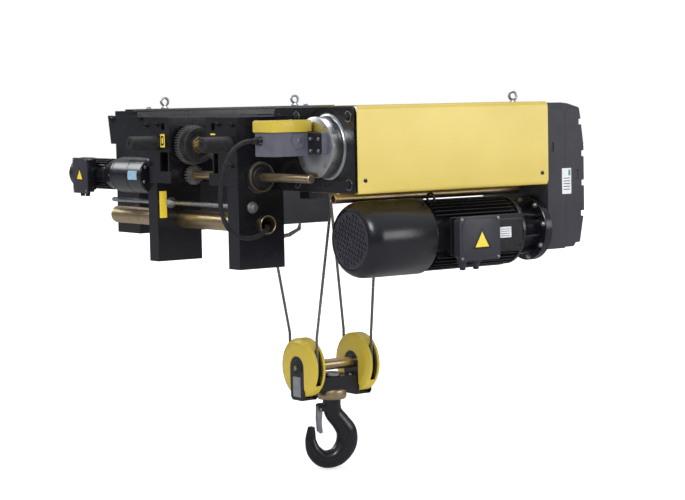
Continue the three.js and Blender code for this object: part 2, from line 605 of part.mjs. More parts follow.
function addHook() {
  const { x, y, top, turn } = HOOK;
  const underside = BLOCK.z - 84;
  add('thrust_bearing', turned('z', [
    [20.8, underside - 0.4], [49, underside - 0.4], [51, underside - 5], [51, underside - 26],
    [47, underside - 33], [20.8, underside - 33], [20.8, underside - 0.4],
  ], [x, y, 0], 24), gold);
  const latchTop = [x - 44, top - 30];
  const latchTip = [x - 45, top - 114];
  const latch = plate('y', [
    [latchTop[0] - 8, latchTop[1] + 6], [latchTop[0] + 6, latchTop[1] + 8], [latchTop[0] + 7, latchTop[1] - 10],
    [latchTip[0] + 8, latchTip[1]], [latchTip[0] - 2, latchTip[1] - 1],
  ], [y - 9, y + 9]);
  const pin = bar('y', 4, [y - 15, y + 15], latchTop[0], latchTop[1], 12);
  const nut = bar('z', 32, [BLOCK.z - 39.6, BLOCK.z - 27], x, y, 24);
  add('hook', spin(join(forgedHook(), pin, nut), turn, [x, y]), black);
  add('hook_latch', spin(cut(latch, bar('y', 4.3, [y - 20, y + 20], ...latchTop, 12)), turn, [x, y]), zinc);
}

// The hook's bowl follows a rising spiral about the throat, thickest under the load.
function forgedHook() {
  const { x, y, top } = HOOK;
  const spine = [
    [0, 0, 31, 30], [0, -24, 31, 29], [7, -50, 31, 28], [30, -80, 32, 28], [50, -116, 36, 30], [46, -160, 37, 31],
    [14, -198, 33, 31], [-32, -204, 30, 28], [-64, -178, 26, 24], [-76, -142, 20, 18], [-75, -114, 16, 14],
    [-73, -92, 12, 12],
  ];
  const curve = new THREE.CatmullRomCurve3(spine.map(([u, v]) => new THREE.Vector3(u, 0, v)), false, 'centripetal');
  const widths = new THREE.CatmullRomCurve3(spine.map(([, , w, t]) => new THREE.Vector3(w, t, 0)));
  const rings = 24;
  const sides = 12;
  const positions = [];
  const index = [];
  for (let i = 0; i <= rings; i += 1) {
    const t = i / rings;
    const centre = curve.getPoint(t);
    const tangent = curve.getTangent(t);
    const across = new THREE.Vector3(tangent.z, 0, -tangent.x);
    const { x: w, y: thick } = widths.getPoint(t);
    for (let k = 0; k < sides; k += 1) {
      const angle = (k * 2 * Math.PI) / sides;
      const p = centre.clone().addScaledVector(across, w * Math.cos(angle));
      positions.push(x + p.x, y + thick * Math.sin(angle), top + p.z);
    }
  }
  for (let i = 0; i < rings; i += 1) {
    for (let k = 0; k < sides; k += 1) {
      const a = i * sides + k;
      const b = i * sides + ((k + 1) % sides);
      index.push(a, b, a + sides, b, b + sides, a + sides);
    }
  }
  for (let k = 1; k < sides - 1; k += 1) {
    index.push(0, k + 1, k);
    index.push(rings * sides, rings * sides + k, rings * sides + k + 1);
  }
  const geometry = new THREE.BufferGeometry();
  geometry.setAttribute('position', new THREE.Float32BufferAttribute(positions, 3));
  geometry.setIndex(index);
  const shank = bar('z', 20, [top - 6, BLOCK.z - 27], x, y, 24);
  const ears = [-1, 1].map((s) => box([x - 52, x - 10], [y + s * 14 - 4, y + s * 14 + 4], [top - 40, top - 14]));
  return join(solid(geometry), shank, ears);
}

const falls = {
  1: [[245, 14, -588], [31, -160, -74]],
  2: [[244, -146, -588], [308, -166, -84]],
  3: [[470, 14, -588], [236, -245, -84]],
  4: [[470, -146, -588], [287, -451, 30]],
};

function addRopes() {
  Object.entries(falls).forEach(([number, [low, high]]) => {
    add(`rope_fall_${number}`, slanted(low, high, ROPE_R), rope);
  });
}

function addReturnSheave() {
  const { x, y, z, r, turn } = RETURN;
  const wheelShape = turned('y', [
    [10.4, -11], [r + 6, -11], [r - 5.5, -4], [r - 5.5, 4], [r + 6, 11], [10.4, 11], [10.4, -11],
  ], [x, y, z], 24);
  add('return_sheave', spin(wheelShape, turn, [x, y]), iron);
  const cheek = (a, b) => box([x - 24, x + 24], [y + a, y + b], [z - 22, 110]);
  const pin = bar('y', 10, [y - 24, y + 24], x, z, 20);
  const fork = join(cheek(-20, -13), cheek(13, 20), box([x - 24, x + 24], [y - 20, y + 20], [100, 110]));
  const swivel = bar('z', 14, [109, FRAME.top - SHEET - GAP], x, y, 20);
  add('return_fork', spin(join(fork, pin, swivel), turn, [x, y]), black);
}

function addCabinet() {
  const { x, y, z } = CABINET;
  const wall = 3;
  const shell = cut(box(x, [y[0], y[1] - 14], z),
    box([x[0] + wall, x[1] - wall], [y[0] + wall, y[1]], [z[0] + wall, z[1] - wall]));
  const back = y[0] + wall - 1;
  const contactors = [0, 1, 2, 3, 4].map((i) => box([90 + i * 62, 136 + i * 62], [back, y[0] + 84], [36, 114]));
  const transformer = box([560, 690], [back, y[0] + 96], [-190, -84]);
  const terminals = box([90, 470], [back, y[0] + 44], [-176, -130]);
  const topFlange = box([x[0] - 22, x[1] + 22], [y[0] - 10, y[0] + 46], [z[1] - 2, z[1] + 6]);
  add('switch_cabinet', join(shell, contactors, transformer, terminals, topFlange), black);
  const panel = plate('y', roundedRect([x[0] + 10, x[1] - 10], [z[0] + 10, z[1] - 10], 10), [y[1] - 13.7, y[1]]);
  const handle = join(bar('y', 13, [y[1] - 1, y[1] + 8], 740, -40, 20),
    box([733, 747], [y[1] + 4, y[1] + 16], [-74, -30]));
  add('cabinet_door', join(panel, handle), black);
}

function eyeBolt(x, y, base) {
  const ring = solid(new THREE.TorusGeometry(13, 4.5, 7, 14).rotateX(Math.PI / 2).rotateZ(-0.35).translate(x, y, base + 24));
  return join(ring, turned('z', [[0, base], [13, base], [13, base + 3], [7, base + 9], [0, base + 9]], [x, y, 0], 20));
}

function addEyeBolts() {
  const deck = CABINET.z[1] + 6 + GAP;
  add('eye_bolt_1', eyeBolt(124, 596, deck), zinc);
  add('eye_bolt_2', eyeBolt(688, 596, deck), zinc);
  add('eye_bolt_3', eyeBolt(811, -500, GEARBOX.z[1] + GAP), zinc);
}

addFrames();
addLegs();
addTies();
addWheels();
addTravelDrive();
addBuffers();
addDrumUnit();
addDrumCover();
addGearbox();
addHoistMotor();
addLimitSwitch();
addSwitchCord();
addHookBlock();
addHook();
addRopes();
addReturnSheave();
addCabinet();
addEyeBolts();

export default hoist;
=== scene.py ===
"""Looks for the electric wire rope hoist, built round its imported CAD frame.

Shapes are made in the CAD's own design millimetres (x along the drum, y across the runway beam, z up)
and turned into metres of the shared frame as each piece is placed.
"""

import math

import bmesh
import bpy
from mathutils import Matrix, Vector


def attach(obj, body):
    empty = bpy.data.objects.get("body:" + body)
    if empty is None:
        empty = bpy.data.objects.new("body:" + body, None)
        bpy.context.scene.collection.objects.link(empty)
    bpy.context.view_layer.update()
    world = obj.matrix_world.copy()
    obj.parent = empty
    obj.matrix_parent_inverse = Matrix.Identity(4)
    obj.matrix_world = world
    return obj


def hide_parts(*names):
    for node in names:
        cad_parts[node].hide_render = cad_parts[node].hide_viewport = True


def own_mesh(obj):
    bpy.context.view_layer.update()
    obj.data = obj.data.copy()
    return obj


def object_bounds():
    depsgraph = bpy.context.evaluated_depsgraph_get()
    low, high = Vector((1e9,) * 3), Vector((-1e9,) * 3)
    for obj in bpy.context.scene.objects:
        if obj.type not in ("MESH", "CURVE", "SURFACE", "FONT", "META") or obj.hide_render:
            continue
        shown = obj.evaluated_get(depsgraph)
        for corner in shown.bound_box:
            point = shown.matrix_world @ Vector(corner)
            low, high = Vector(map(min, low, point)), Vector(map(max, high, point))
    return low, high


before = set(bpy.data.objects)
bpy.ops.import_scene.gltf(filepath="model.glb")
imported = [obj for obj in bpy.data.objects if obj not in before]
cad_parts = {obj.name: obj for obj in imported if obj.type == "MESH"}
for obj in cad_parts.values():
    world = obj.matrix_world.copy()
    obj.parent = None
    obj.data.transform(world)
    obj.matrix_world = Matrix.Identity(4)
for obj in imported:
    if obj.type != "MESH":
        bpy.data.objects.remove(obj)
CAD_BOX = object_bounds()
scene = bpy.context.scene
for imported in bpy.data.materials:
    imported.name = f"cad_{imported.name}"

# ---------------------------------------------------------------- driving dimensions, in millimetres unless marked

ORIGIN_X = 240
DRUM = {"y": -556, "z": 55, "r": 98, "from": 24, "to": 744, "pitch": 11}
MOTOR = {"y": -629, "z": -232, "r": 119, "grille": 90}
BLOCK = {"x": 357, "y": -66, "z": -698, "half": 113, "r": 100, "groove": 79}
HOOK = {"x": 357, "y": -66, "top": -818, "turn": -22}
TRAVEL = {"x": -112, "z": -46}
RETURN = {"x": 272, "y": -206, "z": -20, "r": 51, "turn": 46}
SHAFT = {"x": -60, "z": -41}
TIE = {"x": -38, "z": -193}
ROD = {"x": -90, "z": -136}
WHEEL_XS = (-65, 545)
CHEEK_X = -150
ROPE_R = 5
FINE_GRAIN = 0.0002  # m, depth of the finest surface texture
CORD_SLACK = 0.0002  # m, how far the drawn cord stays inside its solid
CORD_D = 0.015  # m

# Each fall of rope, from its lower end to its upper end.
FALLS = {
    1: ((245, 14, -588), (31, -160, -74)),
    2: ((244, -146, -588), (308, -166, -84)),
    3: ((470, 14, -588), (236, -245, -84)),
    4: ((470, -146, -588), (287, -451, 30)),
}

CORD_ROUTE = (
    (-213, -478, 78), (-234, -478, 78), (-256, -475, 71), (-276, -468, 55), (-290, -458, 28),
    (-299, -446, -7), (-301, -432, -48), (-297, -418, -89), (-286, -403, -128), (-267, -390, -164),
    (-243, -378, -192), (-213, -370, -213), (-180, -364, -224), (-146, -358, -226), (-114, -350, -221),
    (-87, -337, -212), (-65, -321, -204), (-50, -302, -199), (-42, -284, -198),
)

TO_METRES = Matrix.Translation((-ORIGIN_X / 1000, 0, 0)) @ Matrix.Scale(0.001, 4)


def metres(p):
    """A design point in millimetres as a point of the shared frame in metres."""
    return TO_METRES @ Vector(p)


# ---------------------------------------------------------------- camera, light and floor


def make_camera():
    azimuth, down, roll = math.radians(-36), math.radians(4.4), math.radians(1.1)
    back = Vector((
        math.sin(azimuth) * math.cos(down), -math.cos(azimuth) * math.cos(down), math.sin(down),
    ))
    camera = bpy.data.objects.new("camera", bpy.data.cameras.new("camera"))
    camera.data.sensor_width = 36
    camera.data.lens = 105.1
    camera.data.clip_end = 100
    camera.location = (-3.815, -5.557, 0.210)
    camera.rotation_mode = "QUATERNION"
    level = (-back).to_track_quat("-Z", "Y")
    camera.rotation_quaternion = level @ Matrix.Rotation(-roll, 3, "Z").to_quaternion()
    scene.collection.objects.link(camera)
    scene.camera = camera


def area_light(name, at, target, size, watts, colour=(1, 1, 1)):
    light = bpy.data.lights.new(name, "AREA")
    light.shape = "RECTANGLE"
    light.size, light.size_y = size
    light.energy = watts
    light.color = colour
    obj = bpy.data.objects.new(name, light)
    obj.location = at
    obj.rotation_mode = "QUATERNION"
    obj.rotation_quaternion = (Vector(target) - Vector(at)).to_track_quat("-Z", "Y")
    scene.collection.objects.link(obj)


def make_world():
    """White to the camera, even light on surfaces, and darker towards the horizon in reflections."""
    world = bpy.data.worlds.new("studio")
    world.use_nodes = True
    tree = world.node_tree
    link = tree.links.new
    even = tree.nodes["Background"]
    even.inputs["Color"].default_value = (0.96, 0.98, 1.0, 1)
    even.inputs["Strength"].default_value = 0.42
    seen = tree.nodes.new("ShaderNodeBackground")
    seen.inputs["Color"].default_value = (1, 1, 1, 1)
    mirrored = tree.nodes.new("ShaderNodeBackground")
    mirrored.inputs["Color"].default_value = (0.88, 0.92, 1.0, 1)
    way = tree.nodes.new("ShaderNodeTexCoord")
    split = tree.nodes.new("ShaderNodeSeparateXYZ")
    fade = tree.nodes.new("ShaderNodeMapRange")
    fade.inputs["From Min"].default_value = 0.05
    fade.inputs["From Max"].default_value = 0.75
    fade.inputs["To Min"].default_value = 0.10
    fade.inputs["To Max"].default_value = 0.62
    link(way.outputs["Generated"], split.inputs[0])
    link(split.outputs["Z"], fade.inputs["Value"])
    link(fade.outputs["Result"], mirrored.inputs["Strength"])
    rays = tree.nodes.new("ShaderNodeLightPath")
    bounced = tree.nodes.new("ShaderNodeMixShader")
    link(rays.outputs["Is Glossy Ray"], bounced.inputs[0])
    link(even.outputs[0], bounced.inputs[1])
    link(mirrored.outputs[0], bounced.inputs[2])
    pick = tree.nodes.new("ShaderNodeMixShader")
    link(rays.outputs["Is Camera Ray"], pick.inputs[0])
    link(bounced.outputs[0], pick.inputs[1])
    link(seen.outputs[0], pick.inputs[2])
    link(pick.outputs[0], tree.nodes["World Output"].inputs["Surface"])
    scene.world = world
    scene.view_settings.view_transform = "Standard"


def make_floor():
    """A pale floor that fades to white away from the hoist and is dimmer in reflections."""
    bm = bmesh.new()
    bmesh.ops.create_grid(bm, x_segments=1, y_segments=1, size=30)
    mesh = bpy.data.meshes.new("floor")
    bm.to_mesh(mesh)
    bm.free()
    floor = bpy.data.objects.new("floor", mesh)
    floor.location = (0, 0, CAD_BOX[0].z - 0.004)
    made = Finish("floor_pale", roughness=0.9, specular=0.1)
    glossy = made.node("ShaderNodeLightPath").outputs["Is Glossy Ray"]
    made.colour(made.mix(glossy, (0.80, 0.80, 0.80, 1), (0.30, 0.30, 0.32, 1)))
    made.shader.inputs["Emission Color"].default_value = (1, 1, 1, 1)
    away = made.node("ShaderNodeVectorMath", {0: made.place}, operation="LENGTH").outputs["Value"]
    glow = made.node("ShaderNodeMapRange", {
        "Value": away, "From Min": 1.2, "From Max": 5.0, "To Min": 0.62, "To Max": 1.1,
    }).outputs["Result"]
    dim = made.math("SUBTRACT", 1.0, made.math("MULTIPLY", glossy, 0.9))
    made.tree.links.new(made.math("MULTIPLY", glow, dim), made.shader.inputs["Emission Strength"])
    mesh.materials.append(made.material)
    scene.collection.objects.link(floor)


def make_studio():
    make_world()
    area_light("key", (-3.4, -3.4, 3.0), (0.1, -0.3, -0.2), (2.2, 1.6), 115)
    area_light("side", (2.7, -4.3, 0.6), (0.3, -0.5, -0.1), (2.4, 1.3), 34)
    area_light("top", (0.3, 0.2, 3.4), (0.2, -0.1, 0), (2.4, 2.4), 75)
    area_light("back", (-2.0, 4.2, 2.2), (0, 0.2, -0.1), (2.4, 1.6), 50)
    make_floor()


# ---------------------------------------------------------------- materials


class Finish:
    """A procedural material on one Principled shader, with short calls for its nodes."""

    def __init__(self, name, roughness=0.5, metallic=0.0, coat=0.0, coat_roughness=0.1, specular=0.5):
        self.material = bpy.data.materials.new(name)
        self.material.use_nodes = True
        self.tree = self.material.node_tree
        self.shader = self.tree.nodes["Principled BSDF"]
        self.shader.inputs["Roughness"].default_value = roughness
        self.shader.inputs["Metallic"].default_value = metallic
        self.shader.inputs["Coat Weight"].default_value = coat
        self.shader.inputs["Coat Roughness"].default_value = coat_roughness
        self.shader.inputs["Specular IOR Level"].default_value = specular
        self.place = self.tree.nodes.new("ShaderNodeTexCoord").outputs["Object"]
        self.height = None

    def node(self, kind, inputs=(), **settings):
        made = self.tree.nodes.new(kind)
        for key, value in settings.items():
            setattr(made, key, value)
        for socket, value in dict(inputs).items():
            if isinstance(value, bpy.types.NodeSocket):
                self.tree.links.new(value, made.inputs[socket])
            else:
                made.inputs[socket].default_value = value
        return made

    def stretched(self, scale):
        return self.node("ShaderNodeMapping", {"Vector": self.place, "Scale": scale}).outputs["Vector"]

    def noise(self, scale, detail=3.0, rough=0.55, stretch=None):
        at = self.stretched(stretch) if stretch else self.place
        return self.node(
            "ShaderNodeTexNoise", {"Vector": at, "Scale": scale, "Detail": detail, "Roughness": rough},
        ).outputs["Fac"]

    def cells(self, scale, stretch=None):
        at = self.stretched(stretch) if stretch else self.place
        return self.node("ShaderNodeTexVoronoi", {"Vector": at, "Scale": scale}).outputs["Distance"]

    def ramp(self, factor, stops):
        made = self.node("ShaderNodeValToRGB", {"Fac": factor})
        line = made.color_ramp
        while len(line.elements) < len(stops):
            line.elements.new(0.5)
        for element, (position, colour) in zip(line.elements, stops):
            element.position = position
            element.color = (*colour, 1) if hasattr(colour, "__len__") else (colour,) * 3 + (1,)
        return made.outputs["Color"]

    def math(self, operation, a, b=0.0):
        return self.node("ShaderNodeMath", {0: a, 1: b}, operation=operation).outputs[0]

    def mix(self, factor, a, b):
        return self.node("ShaderNodeMix", {0: factor, 6: a, 7: b}, data_type="RGBA").outputs[2]

    def colour(self, socket):
        self.tree.links.new(socket, self.shader.inputs["Base Color"])
        return self

    def roughness(self, factor, low, high):
        made = self.node("ShaderNodeMapRange", {"Value": factor, "To Min": low, "To Max": high})
        self.tree.links.new(made.outputs["Result"], self.shader.inputs["Roughness"])
        return self

    def bump(self, height, distance, strength=1.0):
        inputs = {"Height": height, "Distance": distance, "Strength": strength}
        if self.height is not None:
            inputs["Normal"] = self.height
        self.height = self.node("ShaderNodeBump", inputs).outputs["Normal"]
        self.tree.links.new(self.height, self.shader.inputs["Normal"])
        return self

    def edges(self, radius=0.0016):
        """1 on sharp edges, 0 on flat surfaces, from the rounding that a bevel would give."""
        soft = self.node("ShaderNodeBevel", {"Radius": radius}, samples=4).outputs["Normal"]
        flat = self.node("ShaderNodeNewGeometry").outputs["Normal"]
        dot = self.node("ShaderNodeVectorMath", {0: soft, 1: flat}, operation="DOT_PRODUCT")
        facing = dot.outputs["Value"]
        return self.node(
            "ShaderNodeMapRange", {"Value": facing, "From Min": 0.98, "From Max": 0.80},
        ).outputs["Result"]

    def dust(self):
        """1 on faces that look up, broken up by noise, where dust settles."""
        normal = self.node("ShaderNodeNewGeometry").outputs["Normal"]
        up = self.node("ShaderNodeSeparateXYZ", {0: normal}).outputs["Z"]
        limits = {"Value": up, "From Min": 0.55, "From Max": 1.0}
        level = self.node("ShaderNodeMapRange", limits).outputs["Result"]
        return self.math("MULTIPLY", level, self.noise(14, 4))


def paint(name, dark, light, roughness, peel, coat, worn_and_highlight, dusty=0.25):
    """Sprayed paint: a soft orange-peel skin, slight colour drift, dust on top, and lighter edges that are partly
    rubbed wear and partly a painted highlight.
    """
    made = Finish(name, coat=coat, coat_roughness=0.22)
    body = made.ramp(made.noise(6, 4), ((0.3, dark), (0.7, light)))
    # Edges lightened through noise: partly rubbed wear, partly a painted highlight.
    edge_tint = made.math("MULTIPLY", made.edges(), made.ramp(made.noise(60, 4), ((0.42, 0.0), (0.62, 1.0))))
    body = made.mix(made.math("MULTIPLY", edge_tint, 0.6), body, (*worn_and_highlight, 1))
    pale = tuple(min(1.0, c * 1.25 + 0.025) for c in light)
    body = made.mix(made.math("MULTIPLY", made.dust(), dusty), body, (*pale, 1))
    made.colour(body)
    made.roughness(made.noise(25, 3), roughness - 0.07, roughness + 0.09)
    made.bump(made.noise(peel, 2, 0.4), 0.0004, 0.35)
    made.bump(made.noise(6, 0), 0.005, 0.16)
    return made.material


def make_black_paint():
    dark, light = (0.0045, 0.0046, 0.0062), (0.0085, 0.0088, 0.0125)
    # The last colour lightens the edges: partly rubbed wear, partly a painted highlight.
    return paint("black_paint", dark, light, 0.24, 420, 0.3, (0.05, 0.05, 0.058))


def make_slate_paint():
    made = Finish("slate_paint", coat=0.12, coat_roughness=0.3)
    body = made.ramp(made.noise(8, 5), ((0.3, (0.020, 0.020, 0.028)), (0.7, (0.031, 0.031, 0.042))))
    edge_tint = made.math("MULTIPLY", made.edges(), made.ramp(made.noise(70, 4), ((0.4, 0.0), (0.6, 1.0))))
    body = made.mix(made.math("MULTIPLY", edge_tint, 0.5), body, (0.13, 0.13, 0.15, 1))
    made.colour(made.mix(made.math("MULTIPLY", made.dust(), 0.3), body, (0.06, 0.062, 0.07, 1)))
    made.roughness(made.noise(30, 4), 0.36, 0.56)
    made.bump(made.noise(210, 5, 0.65), 0.0009, 0.4)
    made.bump(made.noise(40, 2), 0.0015, 0.2)
    return made.material


def make_yellow_paint(name, dark, light):
    made = Finish(name, coat=0.3, coat_roughness=0.18)
    body = made.ramp(made.noise(4, 4), ((0.3, dark), (0.7, light)))
    edge_tint = made.math("MULTIPLY", made.edges(0.001), made.ramp(made.noise(80, 4), ((0.5, 0.0), (0.66, 1.0))))
    body = made.mix(made.math("MULTIPLY", edge_tint, 0.35), body, (0.42, 0.30, 0.06, 1))
    made.colour(made.mix(made.math("MULTIPLY", made.dust(), 0.15), body, (0.78, 0.66, 0.30, 1)))
    made.roughness(made.noise(22, 3), 0.30, 0.44)
    made.bump(made.noise(380, 2, 0.4), 0.0004, 0.3)
    made.bump(made.noise(5, 1), 0.006, 0.08)
    return made.material


def make_grey_plastic():
    made = Finish("grey_plastic", specular=0.4)
    made.colour(made.ramp(made.noise(30, 4), ((0.3, (0.088, 0.089, 0.120)), (0.7, (0.115, 0.116, 0.152)))))
    made.roughness(made.noise(60, 3), 0.42, 0.58)
    made.bump(made.cells(1500), FINE_GRAIN, 0.35)
    return made.material


def make_gold_zinc():
    """Yellow-passivated zinc: gold with drifting pink and green tints."""
    made = Finish("gold_zinc", metallic=1.0)
    drift = made.noise(26, 4, 0.6)
    body = made.ramp(drift, (
        (0.28, (0.46, 0.40, 0.20)), (0.42, (0.60, 0.49, 0.26)), (0.54, (0.64, 0.50, 0.31)),
        (0.64, (0.63, 0.46, 0.38)), (0.76, (0.46, 0.43, 0.23)),
    ))
    made.colour(made.mix(made.math("MULTIPLY", made.edges(), 0.5), body, (0.75, 0.62, 0.40, 1)))
    made.roughness(made.noise(70, 4), 0.26, 0.46)
    made.bump(made.noise(500, 3), FINE_GRAIN, 0.3)
    return made.material


def make_bright_zinc():
    made = Finish("bright_zinc", metallic=1.0)
    made.colour(made.ramp(made.noise(55, 5), ((0.3, (0.42, 0.43, 0.45)), (0.7, (0.60, 0.61, 0.62)))))
    made.roughness(made.noise(120, 4), 0.28, 0.5)
    made.bump(made.noise(600, 3), FINE_GRAIN, 0.35)
    return made.material


def make_machined_steel():
    """Turned steel: fine rings about the drum's axis."""
    made = Finish("machined_steel", metallic=1.0)
    offset = made.node("ShaderNodeVectorMath", {0: made.place, 1: (0, -DRUM["y"] / 1000, -DRUM["z"] / 1000)})
    flat = made.node(
        "ShaderNodeVectorMath", {0: offset.outputs["Vector"], 1: (0.02, 1, 1)}, operation="MULTIPLY",
    ).outputs["Vector"]
    radius = made.node("ShaderNodeVectorMath", {0: flat}, operation="LENGTH").outputs["Value"]
    grain = {"W": radius, "Scale": 900.0, "Detail": 3.0}
    rings = made.node("ShaderNodeTexNoise", grain, noise_dimensions="1D")
    rings = rings.outputs["Fac"]
    made.colour(made.ramp(rings, ((0.3, (0.50, 0.51, 0.53)), (0.7, (0.68, 0.69, 0.70)))))
    made.roughness(made.noise(40, 3), 0.22, 0.36)
    made.bump(rings, FINE_GRAIN, 0.4)
    return made.material


def make_iron(name, dark, light):
    made = Finish(name, metallic=0.55, specular=0.4)
    body = made.ramp(made.noise(45, 6, 0.65), ((0.3, dark), (0.7, light)))
    made.colour(made.mix(made.edges(), body, (0.17, 0.165, 0.16, 1)))
    made.roughness(made.noise(90, 4), 0.38, 0.62)
    made.bump(made.noise(260, 5, 0.6), 0.0008, 0.4)
    return made.material


def make_wire_rope():
    """Bright drawn wires under a thin film of grease."""
    made = Finish("wire_rope", metallic=0.85)
    body = made.ramp(made.noise(260, 4), ((0.35, (0.10, 0.092, 0.08)), (0.65, (0.40, 0.385, 0.36))))
    made.colour(body)
    made.roughness(made.noise(300, 3), 0.3, 0.55)
    made.bump(made.noise(2200, 2), FINE_GRAIN, 0.5)
    return made.material


def make_black_plastic():
    made = Finish("black_plastic", specular=0.45)
    made.colour(made.ramp(made.noise(35, 3), ((0.3, (0.0095, 0.0095, 0.011)), (0.7, (0.016, 0.016, 0.018)))))
    made.roughness(made.noise(50, 3), 0.38, 0.52)
    made.bump(made.cells(1400), FINE_GRAIN, 0.3)
    return made.material


def make_black_rubber():
    made = Finish("black_rubber", specular=0.35)
    made.colour(made.ramp(made.noise(70, 5), ((0.3, (0.008, 0.008, 0.009)), (0.7, (0.019, 0.019, 0.020)))))
    made.roughness(made.noise(110, 4), 0.5, 0.72)
    made.bump(made.noise(900, 4, 0.7), 0.0003, 0.5)
    return made.material


def make_brass():
    made = Finish("brass", metallic=1.0)
    made.colour(made.ramp(made.noise(90, 4), ((0.3, (0.36, 0.25, 0.10)), (0.7, (0.60, 0.45, 0.20)))))
    made.roughness(made.noise(120, 3), 0.25, 0.45)
    made.bump(made.noise(500, 3), FINE_GRAIN, 0.3)
    return made.material


def label(name, dark, light, roughness=0.35, metallic=0.0):
    """A printed or etched plate with no lettering: its own colour, fine scuffs and a satin skin."""
    made = Finish(name, metallic=metallic, coat=0.15)
    made.colour(made.ramp(made.noise(60, 5), ((0.3, dark), (0.7, light))))
    made.roughness(made.noise(160, 3), roughness - 0.06, roughness + 0.12)
    made.bump(made.noise(700, 2), 0.0001, 0.3)
    return made.material


BLACK = make_black_paint()
SLATE = make_slate_paint()
YELLOW = make_yellow_paint("yellow_paint", (0.60, 0.455, 0.085), (0.66, 0.515, 0.115))
DEEP_YELLOW = make_yellow_paint("deep_yellow_paint", (0.52, 0.385, 0.030), (0.59, 0.445, 0.048))
GREY = make_grey_plastic()
GOLD = make_gold_zinc()
ZINC = make_bright_zinc()
STEEL = make_machined_steel()
IRON = make_iron("dark_iron", (0.024, 0.023, 0.025), (0.060, 0.057, 0.056))
WORN_IRON = make_iron("worn_iron", (0.10, 0.097, 0.095), (0.21, 0.20, 0.19))
WIRE = make_wire_rope()
PLASTIC = make_black_plastic()
RUBBER = make_black_rubber()
BRASS = make_brass()
WHITE_LABEL = label("white_label", (0.62, 0.64, 0.66), (0.78, 0.79, 0.80))
SILVER_LABEL = label("silver_label", (0.42, 0.43, 0.45), (0.58, 0.59, 0.60), 0.3, 0.9)
BLUE_LABEL = label("blue_label", (0.20, 0.38, 0.55), (0.30, 0.48, 0.64))
GREEN_LABEL = label("green_label", (0.03, 0.22, 0.10), (0.05, 0.30, 0.15))
SIGN_YELLOW = label("sign_yellow", (0.80, 0.58, 0.03), (0.90, 0.68, 0.06))
STEEL_BLUE = label("steel_blue_paint", (0.12, 0.15, 0.20), (0.17, 0.20, 0.26), 0.4)

# ---------------------------------------------------------------- shapes

# For each axis, the directions of a shape's u, v and w.
# A plate's outline is in (u, v) and w is its thickness.
AXES = {
    "x": (Vector((0, 1, 0)), Vector((0, 0, 1)), Vector((1, 0, 0))),
    "y": (Vector((1, 0, 0)), Vector((0, 0, 1)), Vector((0, 1, 0))),
    "z": (Vector((1, 0, 0)), Vector((0, 1, 0)), Vector((0, 0, 1))),
}


def direction(axis):
    """The three directions for a named axis with an optional sign, such as "x" or "-y"."""
    u, v, w = AXES[axis[-1]]
    return (u, v, -w) if axis.startswith("-") else (u, v, w)


def lathe(bm, axis, profile, at, steps=72):
    """Turns (radius, distance along the axis) points about the axis through `at`."""
    u, v, w = direction(axis)
    base = Vector(at)
    rings = []
    for radius, along in profile:
        centre = base + w * along
        if radius < 1e-6:
            rings.append([bm.verts.new(centre)])
            continue
        turn = [i * 2 * math.pi / steps for i in range(steps)]
        points = [centre + u * radius * math.cos(a) + v * radius * math.sin(a) for a in turn]
        rings.append([bm.verts.new(point) for point in points])
    for low, high in zip(rings, rings[1:]):
        for i in range(steps):
            j = (i + 1) % steps
            if len(low) == 1 and len(high) == 1:
                continue
            if len(low) == 1:
                bm.faces.new((low[0], high[j], high[i]))
            elif len(high) == 1:
                bm.faces.new((low[i], low[j], high[0]))
            else:
                bm.faces.new((low[i], low[j], high[j], high[i]))


def box(bm, xs, ys, zs):
    made = bmesh.ops.create_cube(bm, size=1)
    middle = Vector(((xs[0] + xs[1]) / 2, (ys[0] + ys[1]) / 2, (zs[0] + zs[1]) / 2))
    size = Vector((xs[1] - xs[0], ys[1] - ys[0], zs[1] - zs[0]))
    matrix = Matrix.Translation(middle) @ Matrix.Diagonal((*size, 1))
    bmesh.ops.transform(bm, verts=made["verts"], matrix=matrix)


def rounded(us, vs, r, n=6):
    """A rectangle with round corners, as points."""
    corners = (
        (us[1] - r, vs[1] - r, 0), (us[0] + r, vs[1] - r, 1), (us[0] + r, vs[0] + r, 2),
        (us[1] - r, vs[0] + r, 3),
    )
    points = []
    for cu, cv, quarter in corners:
        for i in range(n + 1):
            a = (quarter + i / n) * math.pi / 2
            points.append((cu + r * math.cos(a), cv + r * math.sin(a)))
    return points


def disc_points(u, v, r, n=32, start=0.0):
    turn = [start + i * 2 * math.pi / n for i in range(n)]
    return [(u + r * math.cos(a), v + r * math.sin(a)) for a in turn]


def plate(bm, axis, outline, span, holes=(), edge=0.7):
    """A flat plate with small rounded edges, cut from an outline with holes."""
    low, high = sorted(span)
    curve = bpy.data.curves.new("outline", "CURVE")
    curve.dimensions = "2D"
    curve.fill_mode = "BOTH"
    curve.bevel_depth = edge / 1000
    curve.bevel_resolution = 1
    curve.offset = -edge / 1000
    curve.extrude = max(0.0, (high - low) / 2000 - edge / 1000)
    for loop in (outline, *holes):
        spline = curve.splines.new("POLY")
        spline.points.add(len(loop) - 1)
        for point, (pu, pv) in zip(spline.points, loop):
            point.co = (pu / 1000, pv / 1000, 0, 1)
        spline.use_cyclic_u = True
    holder = bpy.data.objects.new("outline", curve)
    mesh = bpy.data.meshes.new_from_object(holder)
    u, v, w = AXES[axis]
    basis = Matrix((
        (u.x, v.x, w.x, w.x * (low + high) / 2), (u.y, v.y, w.y, w.y * (low + high) / 2),
        (u.z, v.z, w.z, w.z * (low + high) / 2), (0, 0, 0, 1),
    ))
    mesh.transform(basis @ Matrix.Scale(1000, 4))
    bm.from_mesh(mesh)
    bpy.data.objects.remove(holder)
    bpy.data.curves.remove(curve)
    bpy.data.meshes.remove(mesh)


